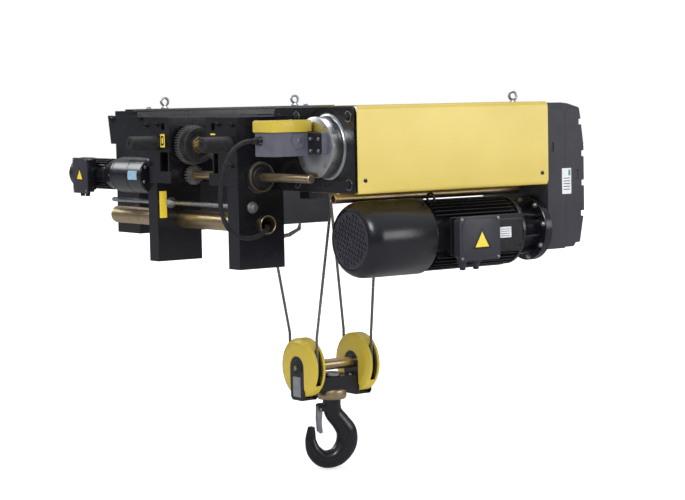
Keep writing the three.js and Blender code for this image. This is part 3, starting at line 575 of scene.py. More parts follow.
def path_frames(points):
    """A direction and two square-on directions at each point of a path, with no twist between them."""
    found = []
    side = None
    for i, point in enumerate(points):
        ahead = (points[min(i + 1, len(points) - 1)] - points[max(i - 1, 0)]).normalized()
        if side is None:
            side = ahead.orthogonal().normalized()
        side = (side - ahead * side.dot(ahead)).normalized()
        found.append((point, ahead, side, ahead.cross(side)))
    return found


def sweep(bm, points, radius, sides=16, flat=1.0):
    """A round bar along a path. `radius` is one number, or one for each point."""
    points = [Vector(p) for p in points]
    radii = radius if hasattr(radius, "__len__") else [radius] * len(points)
    rings = []
    for (point, _, side, up), r in zip(path_frames(points), radii):
        turn = [k * 2 * math.pi / sides for k in range(sides)]
        spots = [point + side * r * math.cos(a) + up * r * flat * math.sin(a) for a in turn]
        rings.append([bm.verts.new(spot) for spot in spots])
    for low, high in zip(rings, rings[1:]):
        for k in range(sides):
            j = (k + 1) % sides
            bm.faces.new((low[k], low[j], high[j], high[k]))
    bm.faces.new(rings[0][::-1])
    bm.faces.new(rings[-1])


def resampled(points, step):
    """Points an even step apart along a path."""
    points = [Vector(p) for p in points]
    made = [points[0]]
    spare = step
    for a, b in zip(points, points[1:]):
        length = (b - a).length
        while spare <= length:
            made.append(a.lerp(b, spare / length))
            spare += step
        spare -= length
    if (made[-1] - points[-1]).length > step * 0.3:
        made.append(points[-1])
    return made


def stranded(bm, points, r=ROPE_R, strands=6, pitch=64.0, step=4.0, sides=6):
    """Wire rope: strands laid round a core along a path."""
    line = resampled(points, step)
    frames = path_frames(line)
    for k in range(strands):
        strand = []
        for i, (point, _, side, up) in enumerate(frames):
            a = 2 * math.pi * (i * step / pitch + k / strands)
            strand.append(point + (side * math.cos(a) + up * math.sin(a)) * r * 0.64)
        sweep(bm, strand, r * 0.36, sides)
    sweep(bm, line, r * 0.5, 6)


def smooth_path(points, per=8):
    """A centripetal-looking curve through the points, as a denser list."""
    points = [Vector(p) for p in points]
    ends = [points[0] * 2 - points[1], *points, points[-1] * 2 - points[-2]]
    made = []
    for a, b, c, d in zip(ends, ends[1:], ends[2:], ends[3:]):
        for i in range(per):
            t = i / per
            made.append(0.5 * ((2 * b) + (c - a) * t + (2 * a - 5 * b + 4 * c - d) * t * t
                               + (3 * b - a - 3 * c + d) * t ** 3))
    made.append(points[-1])
    return made


def bolt(bm, at, axis, across=15, head=7, washer=True):
    """A hexagon head with a chamfered top on a washer, standing off a face along the axis."""
    u, v, w = direction(axis)
    at = Vector(at)
    foot = 0.0
    if washer:
        foot = 1.8
        lathe(
            bm, axis,
            ((0, 0), (across * 0.78, 0), (across * 0.80, 0.5), (across * 0.78, foot), (0, foot)),
            at, 24,
        )
    corner = across / math.sqrt(3)
    levels = ((foot, corner), (foot + head - 1.2, corner), (foot + head, corner * 0.86))
    rings = []
    for height, radius in levels:
        turn = [(i + 0.25) * math.pi / 3 for i in range(6)]
        spots = [at + w * height + (u * math.cos(a) + v * math.sin(a)) * radius for a in turn]
        rings.append([bm.verts.new(spot) for spot in spots])
    for low, high in zip(rings, rings[1:]):
        for i in range(6):
            bm.faces.new((low[i], low[(i + 1) % 6], high[(i + 1) % 6], high[i]))
    bm.faces.new(rings[-1])
    bm.faces.new(rings[0][::-1])


def socket_screw(bm, at, axis, r=7, head=6):
    """A round cap screw with a hexagon socket."""
    inner = r * 0.5
    lathe(bm, axis, ((0, 0), (r, 0), (r, head - 0.8), (r - 0.8, head), (inner, head)), at, 24)
    lathe(bm, axis, ((inner, head), (inner * 0.98, head - 3), (0, head - 3)), at, 6)


def shade(mesh, angle):
    for face in mesh.polygons:
        face.use_smooth = True
    mesh.set_sharp_from_angle(angle=math.radians(angle))


def place(name, bm, material, body, angle=32, bevel=0.0, replaces=()):
    """Puts a shape made in design millimetres into the shared frame, on a body."""
    bm.transform(TO_METRES)
    bmesh.ops.remove_doubles(bm, verts=bm.verts, dist=2e-6)
    bmesh.ops.recalc_face_normals(bm, faces=bm.faces)
    mesh = bpy.data.meshes.new(name)
    bm.to_mesh(mesh)
    bm.free()
    obj = bpy.data.objects.new(name, mesh)
    scene.collection.objects.link(obj)
    mesh.materials.append(material)
    shade(mesh, angle)
    if bevel:
        soften(obj, bevel)
    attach(obj, body)
    if replaces:
        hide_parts(*replaces)
    return obj


def soften(obj, width):
    """A small rounded edge, as a modifier."""
    made = obj.modifiers.new("edge", "BEVEL")
    made.width = width / 1000
    made.segments = 2
    made.limit_method = "ANGLE"
    made.angle_limit = math.radians(38)
    made.harden_normals = True


# ---------------------------------------------------------------- CAD nodes that stay as they are


def dress(node, material, width=0.0, angle=32):
    """Gives a CAD node its finish, joins its split edges and rounds them."""
    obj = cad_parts[node]
    obj.data.materials.clear()
    obj.data.materials.append(material)
    custom = obj.data.attributes.get("custom_normal")
    if custom:
        obj.data.attributes.remove(custom)
    weld = obj.modifiers.new("weld", "WELD")
    weld.merge_threshold = 1e-5
    flat = obj.modifiers.new("flat", "DECIMATE")
    flat.decimate_type = "DISSOLVE"
    flat.angle_limit = math.radians(0.5)
    smooth = obj.modifiers.new("smooth", "NODES")
    smooth.node_group = smooth_group(angle)
    if width:
        soften(obj, width)


def smooth_group(angle):
    """A geometry node group that shades smoothly across edges flatter than the angle."""
    name = f"smooth_{angle}"
    if name in bpy.data.node_groups:
        return bpy.data.node_groups[name]
    group = bpy.data.node_groups.new(name, "GeometryNodeTree")
    group.interface.new_socket("Geometry", in_out="INPUT", socket_type="NodeSocketGeometry")
    group.interface.new_socket("Geometry", in_out="OUTPUT", socket_type="NodeSocketGeometry")
    start = group.nodes.new("NodeGroupInput")
    end = group.nodes.new("NodeGroupOutput")
    faces = group.nodes.new("GeometryNodeSetShadeSmooth")
    faces.domain = "FACE"
    edges = group.nodes.new("GeometryNodeSetShadeSmooth")
    edges.domain = "EDGE"
    edges.inputs["Shade Smooth"].default_value = False
    between = group.nodes.new("GeometryNodeInputMeshEdgeAngle")
    sharp = group.nodes.new("FunctionNodeCompare")
    sharp.operation = "GREATER_THAN"
    sharp.inputs["B"].default_value = math.radians(angle)
    group.links.new(start.outputs[0], faces.inputs["Geometry"])
    group.links.new(faces.outputs[0], edges.inputs["Geometry"])
    group.links.new(between.outputs["Unsigned Angle"], sharp.inputs["A"])
    group.links.new(sharp.outputs[0], edges.inputs["Selection"])
    group.links.new(edges.outputs[0], end.inputs[0])
    return group


def dress_frame():
    kept = (
        (BLACK, 1.2, ("near_frame", "far_frame", "near_leg", "far_leg", "drum_end_plate", "switch_cabinet")),
        (BLACK, 1.0, ("cabinet_door", "hanger_left", "hanger_right", "crosshead", "return_fork")),
        (SLATE, 1.5, ("gearbox_housing", "gearbox_cover")),
        (SLATE, 1.0, ("terminal_box",)),
        (YELLOW, 0.8, ("drum_cover",)),
        (GREY, 1.5, ("limit_switch_body",)),
        (PLASTIC, 0.8, ("rope_guide", "cooling_fan")),
        (STEEL, 0.0, ("motor_rotor", "first_shaft", "second_shaft")),
        (ZINC, 0.0, ("eye_bolt_1", "eye_bolt_2", "eye_bolt_3")),
    )
    for material, width, nodes in kept:
        for node in nodes:
            dress(node, material, width)


# ---------------------------------------------------------------- trolley frame


def tube(bm, axis, r, wall, span, at, steps=64):
    a, b = span
    lathe(bm, axis, (
        (r - wall, a + 0.8), (r - wall + 0.8, a), (r - 0.8, a), (r, a + 0.8),
        (r, b - 0.8), (r - 0.8, b), (r - wall + 0.8, b), (r - wall, b - 0.8), (r - wall, a + 0.8),
    ), at, steps)


def rod(bm, axis, r, span, at, chamfer=1.0, steps=48):
    a, b = span
    lathe(
        bm, axis,
        ((0, a), (r - chamfer, a), (r, a + chamfer), (r, b - chamfer), (r - chamfer, b), (0, b)),
        at, steps,
    )


def make_tubes():
    bm = bmesh.new()
    tube(bm, "y", 30, 4, (-292, 664), (TIE["x"], 0, TIE["z"]))
    place("front_tie", bm, GOLD, "trolley", replaces=["front_tie_tube"])
    bm = bmesh.new()
    tube(bm, "y", 22, 4, (-292, 300), (540, 0, -98))
    place("rear_tie", bm, GOLD, "trolley", replaces=["rear_tie_tube"])
    bm = bmesh.new()
    tube(bm, "x", 15, 3, (10.6, 758.4), (0, -576, -105))
    place("spacer", bm, GOLD, "trolley", replaces=["spacer_tube"])


def threaded(a, b, r, pitch=2.5):
    """Profile points of a screw thread from a to b, as even ridges."""
    points = []
    turns = int(abs(b - a) / pitch)
    for i in range(turns):
        points += [(r - 0.9, a + i * pitch), (r, a + (i + 0.45) * pitch)]
    return points


def make_clamp_rod():
    bm = bmesh.new()
    profile = [(0, -298), (7, -298)] + threaded(-297, -232, 8) + [(7.4, -231)]
    profile += [(7.4, 190)] + threaded(191, 256, 8) + [(7.4, 257), (7.4, 560)] + threaded(561, 602, 8)
    lathe(bm, "y", profile + [(7, 604), (0, 604)], (ROD["x"], 0, ROD["z"]), 24)
    place("clamp_stud", bm, ZINC, "trolley", replaces=["clamp_rod"])
    bm = bmesh.new()
    for face, way in ((-280, "-y"), (-272, "y"), (217, "-y"), (225, "y")):
        step = -0.3 if way == "-y" else 0.3
        bolt(bm, (ROD["x"], face + step, ROD["z"]), way, across=24, head=13)
    place("clamp_nuts", bm, ZINC, "trolley", bevel=0.4)


def gear_outline(u, v, r, teeth, depth):
    """Teeth with slanted flanks and flat tips round a centre."""
    points = []
    for i in range(teeth):
        for share, side in ((-0.32, -1), (-0.24, -0.2), (-0.14, 1), (0.14, 1), (0.24, -0.2), (0.32, -1)):
            a = (i + share) * 2 * math.pi / teeth
            points.append((
                u + (r + side * depth / 2) * math.cos(a), v + (r + side * depth / 2) * math.sin(a),
            ))
    return points


def make_wheels():
    for end, x in zip(("front", "rear"), WHEEL_XS):
        for side, label in ((-1, "near"), (1, "far")):
            driven = end == "front"
            body = f"wheel_{end[0]}{label[0]}"
            bm = bmesh.new()
            rim = ((59, 106),) if driven else ((64.5, 101), (66, 102.5), (66, 104.5), (64.5, 106))
            profile = (
                (17, 66), (17, 64), (27, 64), (29, 66), (30, 70), (43, 70), (45, 66), (46, 64), (56.8, 64),
                (58, 65.2), (58, 99), (59, 100), *rim, (52, 106), (50, 103), (34, 103), (32, 106),
                (28, 107), (28, 125), (27, 126), (17, 126), (17, 66),
            )
            lathe(bm, "y", [(r, side * t) for r, t in profile], (x, 0, 58))
            if driven:
                plate(bm, "y", disc_points(x, 58, 51, 64), sorted((side * 108, side * 116)),
                      [disc_points(x, 58, 27, 48)] + [
                          disc_points(x + 39 * math.cos(a), 58 + 39 * math.sin(a), 5, 16)
                          for a in (i * math.pi / 3 for i in range(6))], 0.5)
            place(f"{end}_{label}_wheel", bm, IRON, body, replaces=[f"wheel_{end}_{label}"])
            if driven:
                bm = bmesh.new()
                plate(bm, "y", gear_outline(x, 58, 63, 44, 6.4), sorted((side * 100.4, side * 121)),
                      [disc_points(x, 58, 50, 64)], 0.5)
                place(f"{end}_{label}_gear_ring", bm, WORN_IRON, body)
            bm = bmesh.new()
            rod(bm, "y", 16, sorted((side * 53, side * 158)), (x, 0, 58))
            bolt(bm, (x, side * 64, 58), "-y" if side > 0 else "y", across=33, head=11)
            place(f"{end}_{label}_axle", bm, BRASS, body, bevel=0.6)


def make_travel_drive():
    bm = bmesh.new()
    rod(bm, "y", 13, (-565, 257), (SHAFT["x"], 0, SHAFT["z"]), 1.5, 64)
    lathe(bm, "y", ((0, -565.2), (3.2, -565.2), (1.2, -561), (0, -561)), (SHAFT["x"], 0, SHAFT["z"]), 16)
    place("cross_shaft", bm, GOLD, "drive", replaces=["travel_shaft"])
    bm = bmesh.new()
    for a, b in ((-124, -105), (105, 124)):
        plate(bm, "y", gear_outline(SHAFT["x"], SHAFT["z"], 30, 18, 5.6), (a, b),
              [disc_points(SHAFT["x"], SHAFT["z"], 13.1, 32)], 0.6)
    place("pinions", bm, WORN_IRON, "drive")

    bm = bmesh.new()
    at = (SHAFT["x"], 0, SHAFT["z"])
    lathe(bm, "y", (
        (13.5, -296), (30, -296), (33, -293.5), (36, -293.5), (38, -296), (46, -296), (50, -292),
        (50, -280.4),
        (13.5, -280.4), (13.5, -296),
    ), at)
    place("near_bearing", bm, PLASTIC, "trolley", replaces=["shaft_bearing_near"])
    bm = bmesh.new()
    lathe(bm, "y", ((37, -294.6), (45, -296.6), (46.5, -296.6), (47, -294), (37, -294)), at)
    place("near_bearing_ring", bm, GOLD, "trolley")

    bm = bmesh.new()
    for x, z, r in ((SHAFT["x"], SHAFT["z"], 60), (TRAVEL["x"], TRAVEL["z"], 62)):
        profile = (
            (14, 276), (r - 4, 276), (r, 280), (r, 366), (r - 1.4, 367), (r - 1.4, 370), (r, 371),
            (r, 466), (r - 5, 472), (14, 472), (14, 276),
        )
        lathe(bm, "y", profile, (x, 0, z))
    lathe(bm, "y", ((14, 225.4), (36, 225.4), (40, 229), (40, 277), (14, 277), (14, 225.4)), at)
    place("reducer", bm, BLACK, "trolley", replaces=["travel_reducer"])
    bm = bmesh.new()
    for i in range(6):
        a = i * math.pi / 3 + 0.4
        spot = (TRAVEL["x"] + 50 * math.cos(a), 276, TRAVEL["z"] + 50 * math.sin(a))
        if math.hypot(spot[0] - SHAFT["x"], spot[2] - SHAFT["z"]) > 44:
            socket_screw(bm, spot, "-y", 4.5, 4)
    for i in range(8):
        a = i * math.pi / 4
        spot = (TRAVEL["x"] + 57.0 * math.cos(a), 486, TRAVEL["z"] + 57.0 * math.sin(a))
        bolt(bm, spot, "y", 6, 4, washer=False)
    place("reducer_screws", bm, ZINC, "trolley")
    bm = bmesh.new()
    wrap = [(math.pi * (1.04 + 0.012 * i)) for i in range(14)]
    label_r = 62.5
    strip = []
    for a in [w - 0.42 for w in wrap]:
        x, z = TRAVEL["x"] + label_r * math.cos(a), TRAVEL["z"] + label_r * math.sin(a)
        strip.append([bm.verts.new((x, y, z)) for y in (296, 356)])
    for low, high in zip(strip, strip[1:]):
        bm.faces.new((low[0], low[1], high[1], high[0]))
    place("reducer_label", bm, BLUE_LABEL, "trolley")
    make_travel_motor()


def make_travel_motor():
    at = (TRAVEL["x"], 0, TRAVEL["z"])
    bm = bmesh.new()
    lathe(bm, "y", (
        (0, 472.8), (58, 472.8), (60, 475), (60, 484), (58, 486), (57, 488), (52, 536), (50, 542),
        (44, 544), (0, 544),
    ), at)
    rod(bm, "y", 45.5, (543, 710), at, 0.8, 64)
    lathe(
        bm, "y",
        ((0, 706), (52, 706), (54, 707), (55.6, 711), (56, 714), (56, 776), (54, 785), (49, 792), (0, 792)),
        at,
    )
    for i in range(28):
        a = i * 2 * math.pi / 28
        if 2.7 < a < 3.6:
            continue
        fin = bmesh.new()
        box(fin, (44, 54), (546, 704), (-1.1, 1.1))
        fin.transform(Matrix.Translation(at) @ Matrix.Rotation(a, 4, "Y"))
        merge(bm, fin)
    box(bm, (-166, -150), (618, 700), (-100, 6))
    plate(bm, "x", rounded((612, 706), (-108, 8), 7), (-187, -160))
    for y in (640, 676):
        lathe(bm, "-z", ((0, 0), (9, 0), (9, 8), (8, 9), (8, 17), (0, 17)), (-172, y, -106), 24)
    place("cross_motor", bm, BLACK, "trolley", bevel=0.5, replaces=["travel_motor"])
    bm = bmesh.new()
    plate(bm, "x", rounded((608, 710), (-112, 12), 8), (-192, -186.6), (), 1.2)
    place("cross_motor_lid", bm, SLATE, "trolley")
    bm = bmesh.new()
    for y in (616, 702):
        for z in (-104, 4):
            socket_screw(bm, (-191.6, y, z), "-x", 3.6, 2.2)
    place("cross_motor_lid_screws", bm, ZINC, "trolley")
    warning_sign("cross_motor_sign", "x", (659, -52), 30, -192.4, "trolley")


def merge(bm, other):
    """Adds a second shape to the first."""
    mesh = bpy.data.meshes.new("part")
    other.to_mesh(mesh)
    other.free()
    bm.from_mesh(mesh)
    bpy.data.meshes.remove(mesh)


def warning_sign(name, axis, centre, size, at, body):
    """A plain yellow triangle with a dark border and no symbol."""
    out = -1 if at < 0 else 1
    corners = [(centre[0] + size * math.cos(a), centre[1] + size * math.sin(a))
               for a in (math.pi / 2, math.pi * 7 / 6, math.pi * 11 / 6)]
    inner = [(centre[0] + (u - centre[0]) * 0.72, centre[1] + (v - centre[1]) * 0.72) for u, v in corners]
    bm = bmesh.new()
    plate(bm, axis, corners, sorted((at, at + out * 0.35)), (), 0.08)
    place(f"{name}_edge", bm, PLASTIC, body)
    bm = bmesh.new()
    plate(bm, axis, inner, sorted((at + out * 0.3, at + out * 0.6)), (), 0.08)
    place(name, bm, SIGN_YELLOW, body)


def make_frame_details():
    bm = bmesh.new()
    for y, z in (
        (-265, 127), (-259, -2), (246, -4), (261, 125), (300, 148), (492, 146), (-185, 128),
        (190, 128),
    ):
        socket_screw(bm, (CHEEK_X, y, z), "-x", 8, 9)
    for y, z in ((300, 148), (492, 146)):
        lathe(bm, "-x", ((0, 0), (13, 0), (13, 2), (0, 2)), (CHEEK_X, y, z), 28)
    place("cheek_screws", bm, BLACK, "trolley", bevel=0.3)

    bm = bmesh.new()
    for y in (-404, -677):
        for z in (148, -59):
            bolt(bm, (0, y, z), "-x", across=19, head=10)
    for y in (-318,):
        for z in (150, 60, -50):
            socket_screw(bm, (0, y, z), "-x", 8, 8)
    place("end_plate_bolts", bm, BLACK, "trolley", bevel=0.4)
    bm = bmesh.new()
    for y in (-404, -677):
        for z in (148, -59):
            lathe(bm, "-x", ((9, 0), (17, 0), (17, 1.6), (9, 1.6), (9, 0)), (0, y, z), 32)
    place("end_plate_washers", bm, ZINC, "trolley")

    bm = bmesh.new()
    plate(bm, "y", rounded((-134, -106), (-186, -96), 2), (216.1, 216.8), (), 0.2)
    place("leg_label", bm, SIGN_YELLOW, "trolley")
    bm = bmesh.new()
    plate(bm, "x", rounded((146, 174), (52, 96), 2), (-150.9, -150.2), (), 0.2)
    plate(bm, "x", rounded((-166, -138), (94, 99), 1), (-150.9, -150.2), (), 0.2)
    place("cheek_labels", bm, SIGN_YELLOW, "trolley")
    bm = bmesh.new()
    plate(
        bm, "x", rounded((151, 169), (58, 90), 4), (-151.2, -150.8),
        [rounded((155, 165), (64, 84), 3)], 0.1,
    )
    place("cheek_label_mark", bm, PLASTIC, "trolley")

    bm = bmesh.new()
    lever = [
        (14, -232), (60, -226), (96, -212), (104, -196),
        (110, -198), (108, -218), (66, -238), (14, -244),
    ]
    plate(bm, "y", lever, (-262, -256), (), 0.8)
    rod(bm, "y", 5, (-270, -250), (24, 0, -238), 1, 24)
    bolt(bm, (62, -262, -232), "-y", 9, 4, washer=False)
    place("release_lever", bm, ZINC, "trolley")

    for side, y in (("near", -250), ("far", 200)):
        bm = bmesh.new()
        lathe(bm, "-x", (
            (0, 0.3), (25, 0.3), (25, 8), (24.4, 9), (24.4, 98), (23, 103), (20, 105), (8, 105),
            (6, 101), (0, 101),
        ), (CHEEK_X, y, 66), 64)
        place(f"{side}_buffer", bm, RUBBER, "trolley", replaces=[f"buffer_{side}"])


# ---------------------------------------------------------------- drum unit


def make_drum():
    y, z, r = DRUM["y"], DRUM["z"], DRUM["r"]
    start, end, pitch = DRUM["from"] + 16, DRUM["to"] - 16, DRUM["pitch"]
    profile = [
        (13, 0), (13, 13), (40, 14), (40, 24), (102.5, 24), (104, 25.5), (104, 34.5), (102.5, 36),
        (r, 38),
    ]
    grooves = int((end - start) / pitch)
    for i in range(grooves):
        for k in range(6):
            dip = 2.4 * math.sin(math.pi * k / 5)
            profile.append((r - dip, start + (i + k / 5 * 0.999) * pitch))
    profile += [
        (r, end), (102.5, 732), (104, 733.5), (104, 742.5), (102.5, 744), (40, 744), (40, 800),
        (13, 800), (13, 830),
        (0, 830),
    ]
    bm = bmesh.new()
    lathe(bm, "x", [(0, 13)] + profile[1:], (0, y, z), 64)
    plate(bm, "x", gear_outline(y, z, 102, 60, 5.6), (801, 826), [disc_points(y, z, 12, 24)], 0.5)
    place("grooved_drum", bm, IRON, "drum", replaces=["rope_drum"])

    turns = 25
    line = []
    for i in range(turns * 28 + 1):
        a = math.pi * 2 * i / 28
        line.append(Vector((
            start + 4 + pitch * i / 28, y + (r + 2.6) * math.cos(a), z + (r + 2.6) * math.sin(a),
        )))
    bm = bmesh.new()
    sweep(bm, line, 4.6, 8)
    place("wound_rope", bm, WIRE, "drum")

    bm = bmesh.new()
    lathe(bm, "x", (
        (0, -42), (6, -42), (8, -40.8), (10, -42), (90, -42), (93, -40.2), (94, -37), (94, 3), (96, 6),
        (102, 8), (102, 12.6), (0, 12.6),
    ), (0, y, z), 96)
    place("end_disc", bm, STEEL, "drum", replaces=["drum_end_disc"])
    # Shallow dark iron cups for the four holes: painted shade where the holes' depth would be, with no hole cut.
    bm = bmesh.new()
    for i in range(4):
        a = math.radians(45 + 90 * i)
        spot = (-42, y + 80 * math.cos(a), z + 80 * math.sin(a))
        lathe(bm, "-x", ((0, -1), (6, -1), (6, 0.15), (4.6, 0.25), (3, -0.8), (0, -0.8)), spot, 24)
    place("end_disc_holes", bm, IRON, "drum")


def make_cover_details():
    bm = bmesh.new()
    for x, z in ((31, -46), (743, -49)):
        lathe(
            bm, "-y", ((0, 0), (6.4, 0), (6.4, 1.6), (5.2, 2.8), (2.6, 3.2), (2.4, 1.4), (0, 1.4)),
            (x, -718.6, z), 24,
        )
    place("cover_screws", bm, BLACK, "trolley")


def make_switch():
    bm = bmesh.new()
    plate(bm, "y", [
        (-192, 106), (-189, 103.6), (-50, 103.6), (-47, 106), (-47, 136), (-51, 140), (-188, 140),
        (-192, 136),
    ], (-554, -444), (), 2.2)
    place("switch_lid", bm, DEEP_YELLOW, "trolley", replaces=["limit_switch_lid"])
    bm = bmesh.new()
    for x in (-183, -56):
        for y in (-546, -452):
            lathe(bm, "z", ((0, 0), (5, 0), (5, 0.9), (4, 1.4), (0, 1.4)), (x, y, 139.6), 20)
    place("switch_lid_screws", bm, ZINC, "trolley")
    bm = bmesh.new()
    plate(bm, "y", [(-114, 58), (-98, 52), (-76, 58), (-74, 98), (-116, 98)], (-552.4, -549.2), (), 0.8)
    lathe(bm, "-y", ((0, 0), (11, 0), (11, 1.4), (10, 2), (0, 2)), (-95, -552.2, 77), 32)
    place("switch_plug", bm, GREY, "trolley")
    bm = bmesh.new()
    plate(bm, "x", rounded((-629, -556), (34, 102), 8), (-65.6, -64.2), (), 0.5)
    place("switch_flange", bm, BLACK, "trolley")
    bm = bmesh.new()
    bolt(bm, (-95, -554, 77), "-y", 11, 4, washer=False)
    for y in (-614, -571):
        socket_screw(bm, (-65.6, y, 82), "-x", 5.4, 4)
        socket_screw(bm, (-65.6, y, 46), "-x", 5.4, 4)
    place("switch_screws", bm, ZINC, "trolley")
    bm = bmesh.new()
    lathe(
        bm, "-x",
        ((0, 0), (13, 0), (14, 1.5), (14, 12), (13, 13.5), (10.5, 14), (9.6, 26), (0, 26)),
        (-185.6, -478, 78), 32,
    )
    place("switch_gland", bm, PLASTIC, "trolley")


def make_cord():
    """The switch cord: one loop from the gland back into the front tie tube."""
    line = smooth_path(CORD_ROUTE, 6)
    curve = bpy.data.curves.new("switch_cord", "CURVE")
    curve.dimensions = "3D"
    curve.bevel_depth = CORD_D / 2 - CORD_SLACK
    curve.bevel_resolution = 5
    curve.use_fill_caps = True
    spline = curve.splines.new("POLY")
    spline.points.add(len(line) - 1)
    for i, (point, p) in enumerate(zip(spline.points, line)):
        point.co = (*metres(p), 1)
    cord = bpy.data.objects.new("switch_cord", curve)
    curve.materials.append(RUBBER)
    scene.collection.objects.link(cord)
    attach(cord, "trolley")
    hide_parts("limit_switch_cord")


# ---------------------------------------------------------------- gearbox and hoist motor


def make_gearbox_details():
    bm = bmesh.new()
    for y, z in ((-690, -10), (-690, -160), (-400, -10), (-400, -130), (-600, -160), (-480, -160)):
        bolt(bm, (932, y, z), "x", 12, 6)
    place("gearbox_bolts", bm, BLACK, "trolley", bevel=0.3)
    bm = bmesh.new()
    plate(bm, "y", rounded((834, 874), (-122, -38), 2), (-712.8, -712.2), (), 0.15)
    place("gearbox_label", bm, WHITE_LABEL, "trolley")
    bm = bmesh.new()
    plate(bm, "y", rounded((862, 870), (-62, -44), 1), (-713.2, -712.7), (), 0.1)
    place("gearbox_label_corner", bm, GREEN_LABEL, "trolley")
    bm = bmesh.new()
    for row in range(5):
        plate(
            bm, "y", rounded((840, 868), (-72 - row * 9, -69.5 - row * 9), 0.8, 2),
            (-713.1, -712.7), (), 0.1,
        )
    place("gearbox_label_bars", bm, PLASTIC, "trolley")
    bm = bmesh.new()
    plate(bm, "x", rounded((-600, -480), (-120, -30), 3), (932.1, 932.8), (), 0.2)
    place("rear_plate", bm, SILVER_LABEL, "trolley")


def make_fan_cover():
    y, z, r = MOTOR["y"], MOTOR["z"], MOTOR["r"]
    at = (0, y, z)
    bm = bmesh.new()
    lathe(bm, "x", (
        (92.6, 36), (93, 35), (98, 36.5), (104, 42), (110, 50), (115, 60), (118, 72), (r, 84),
        (r, 284.6), (118.2, 286),
        (116, 286), (116, 84), (115, 74), (112, 62), (107, 52), (101, 45), (96, 41), (92.6, 40), (92.6, 36),
    ), at, 96)
    place("fan_cowl", bm, BLACK, "trolley", angle=40, replaces=["fan_cover"])

    slots = []
    pitch_v, pitch_u = 10.5, 23.0
    tilt = math.radians(60)
    for row in range(-9, 10):
        for column in range(-5, 6):
            u = column * pitch_u + (row % 2) * pitch_u / 2
            v = row * pitch_v
            if math.hypot(abs(u) + 8, v) > 84 or math.hypot(u, v) < 14:
                continue
            shape = rounded((u - 8.5, u + 8.5), (v - 2.6, v + 2.6), 2.55, 3)
            slot = []
            for a, b in shape:
                across = y + a * math.cos(tilt) - b * math.sin(tilt)
                slot.append((across, z + a * math.sin(tilt) + b * math.cos(tilt)))
            slots.append(slot)
    bm = bmesh.new()
    plate(bm, "x", disc_points(y, z, 90.4, 96), (36, 39.6), slots, 0.5)
    place("grille", bm, SLATE, "trolley", replaces=["fan_grille"])
    bm = bmesh.new()
    lathe(bm, "-x", ((0, 0), (9, 0), (9, 0.8), (7.5, 1.6), (0, 1.6)), (36, y, z), 32)
    for i in range(4):
        a = math.radians(45 + 90 * i)
        lathe(
            bm, "-x", ((0, 0), (4, 0), (4, 1), (2.5, 1.8), (0, 1.8)),
            (36.6, y + 86 * math.cos(a), z + 86 * math.sin(a)), 20,
        )
    place("grille_hub", bm, SLATE, "trolley")


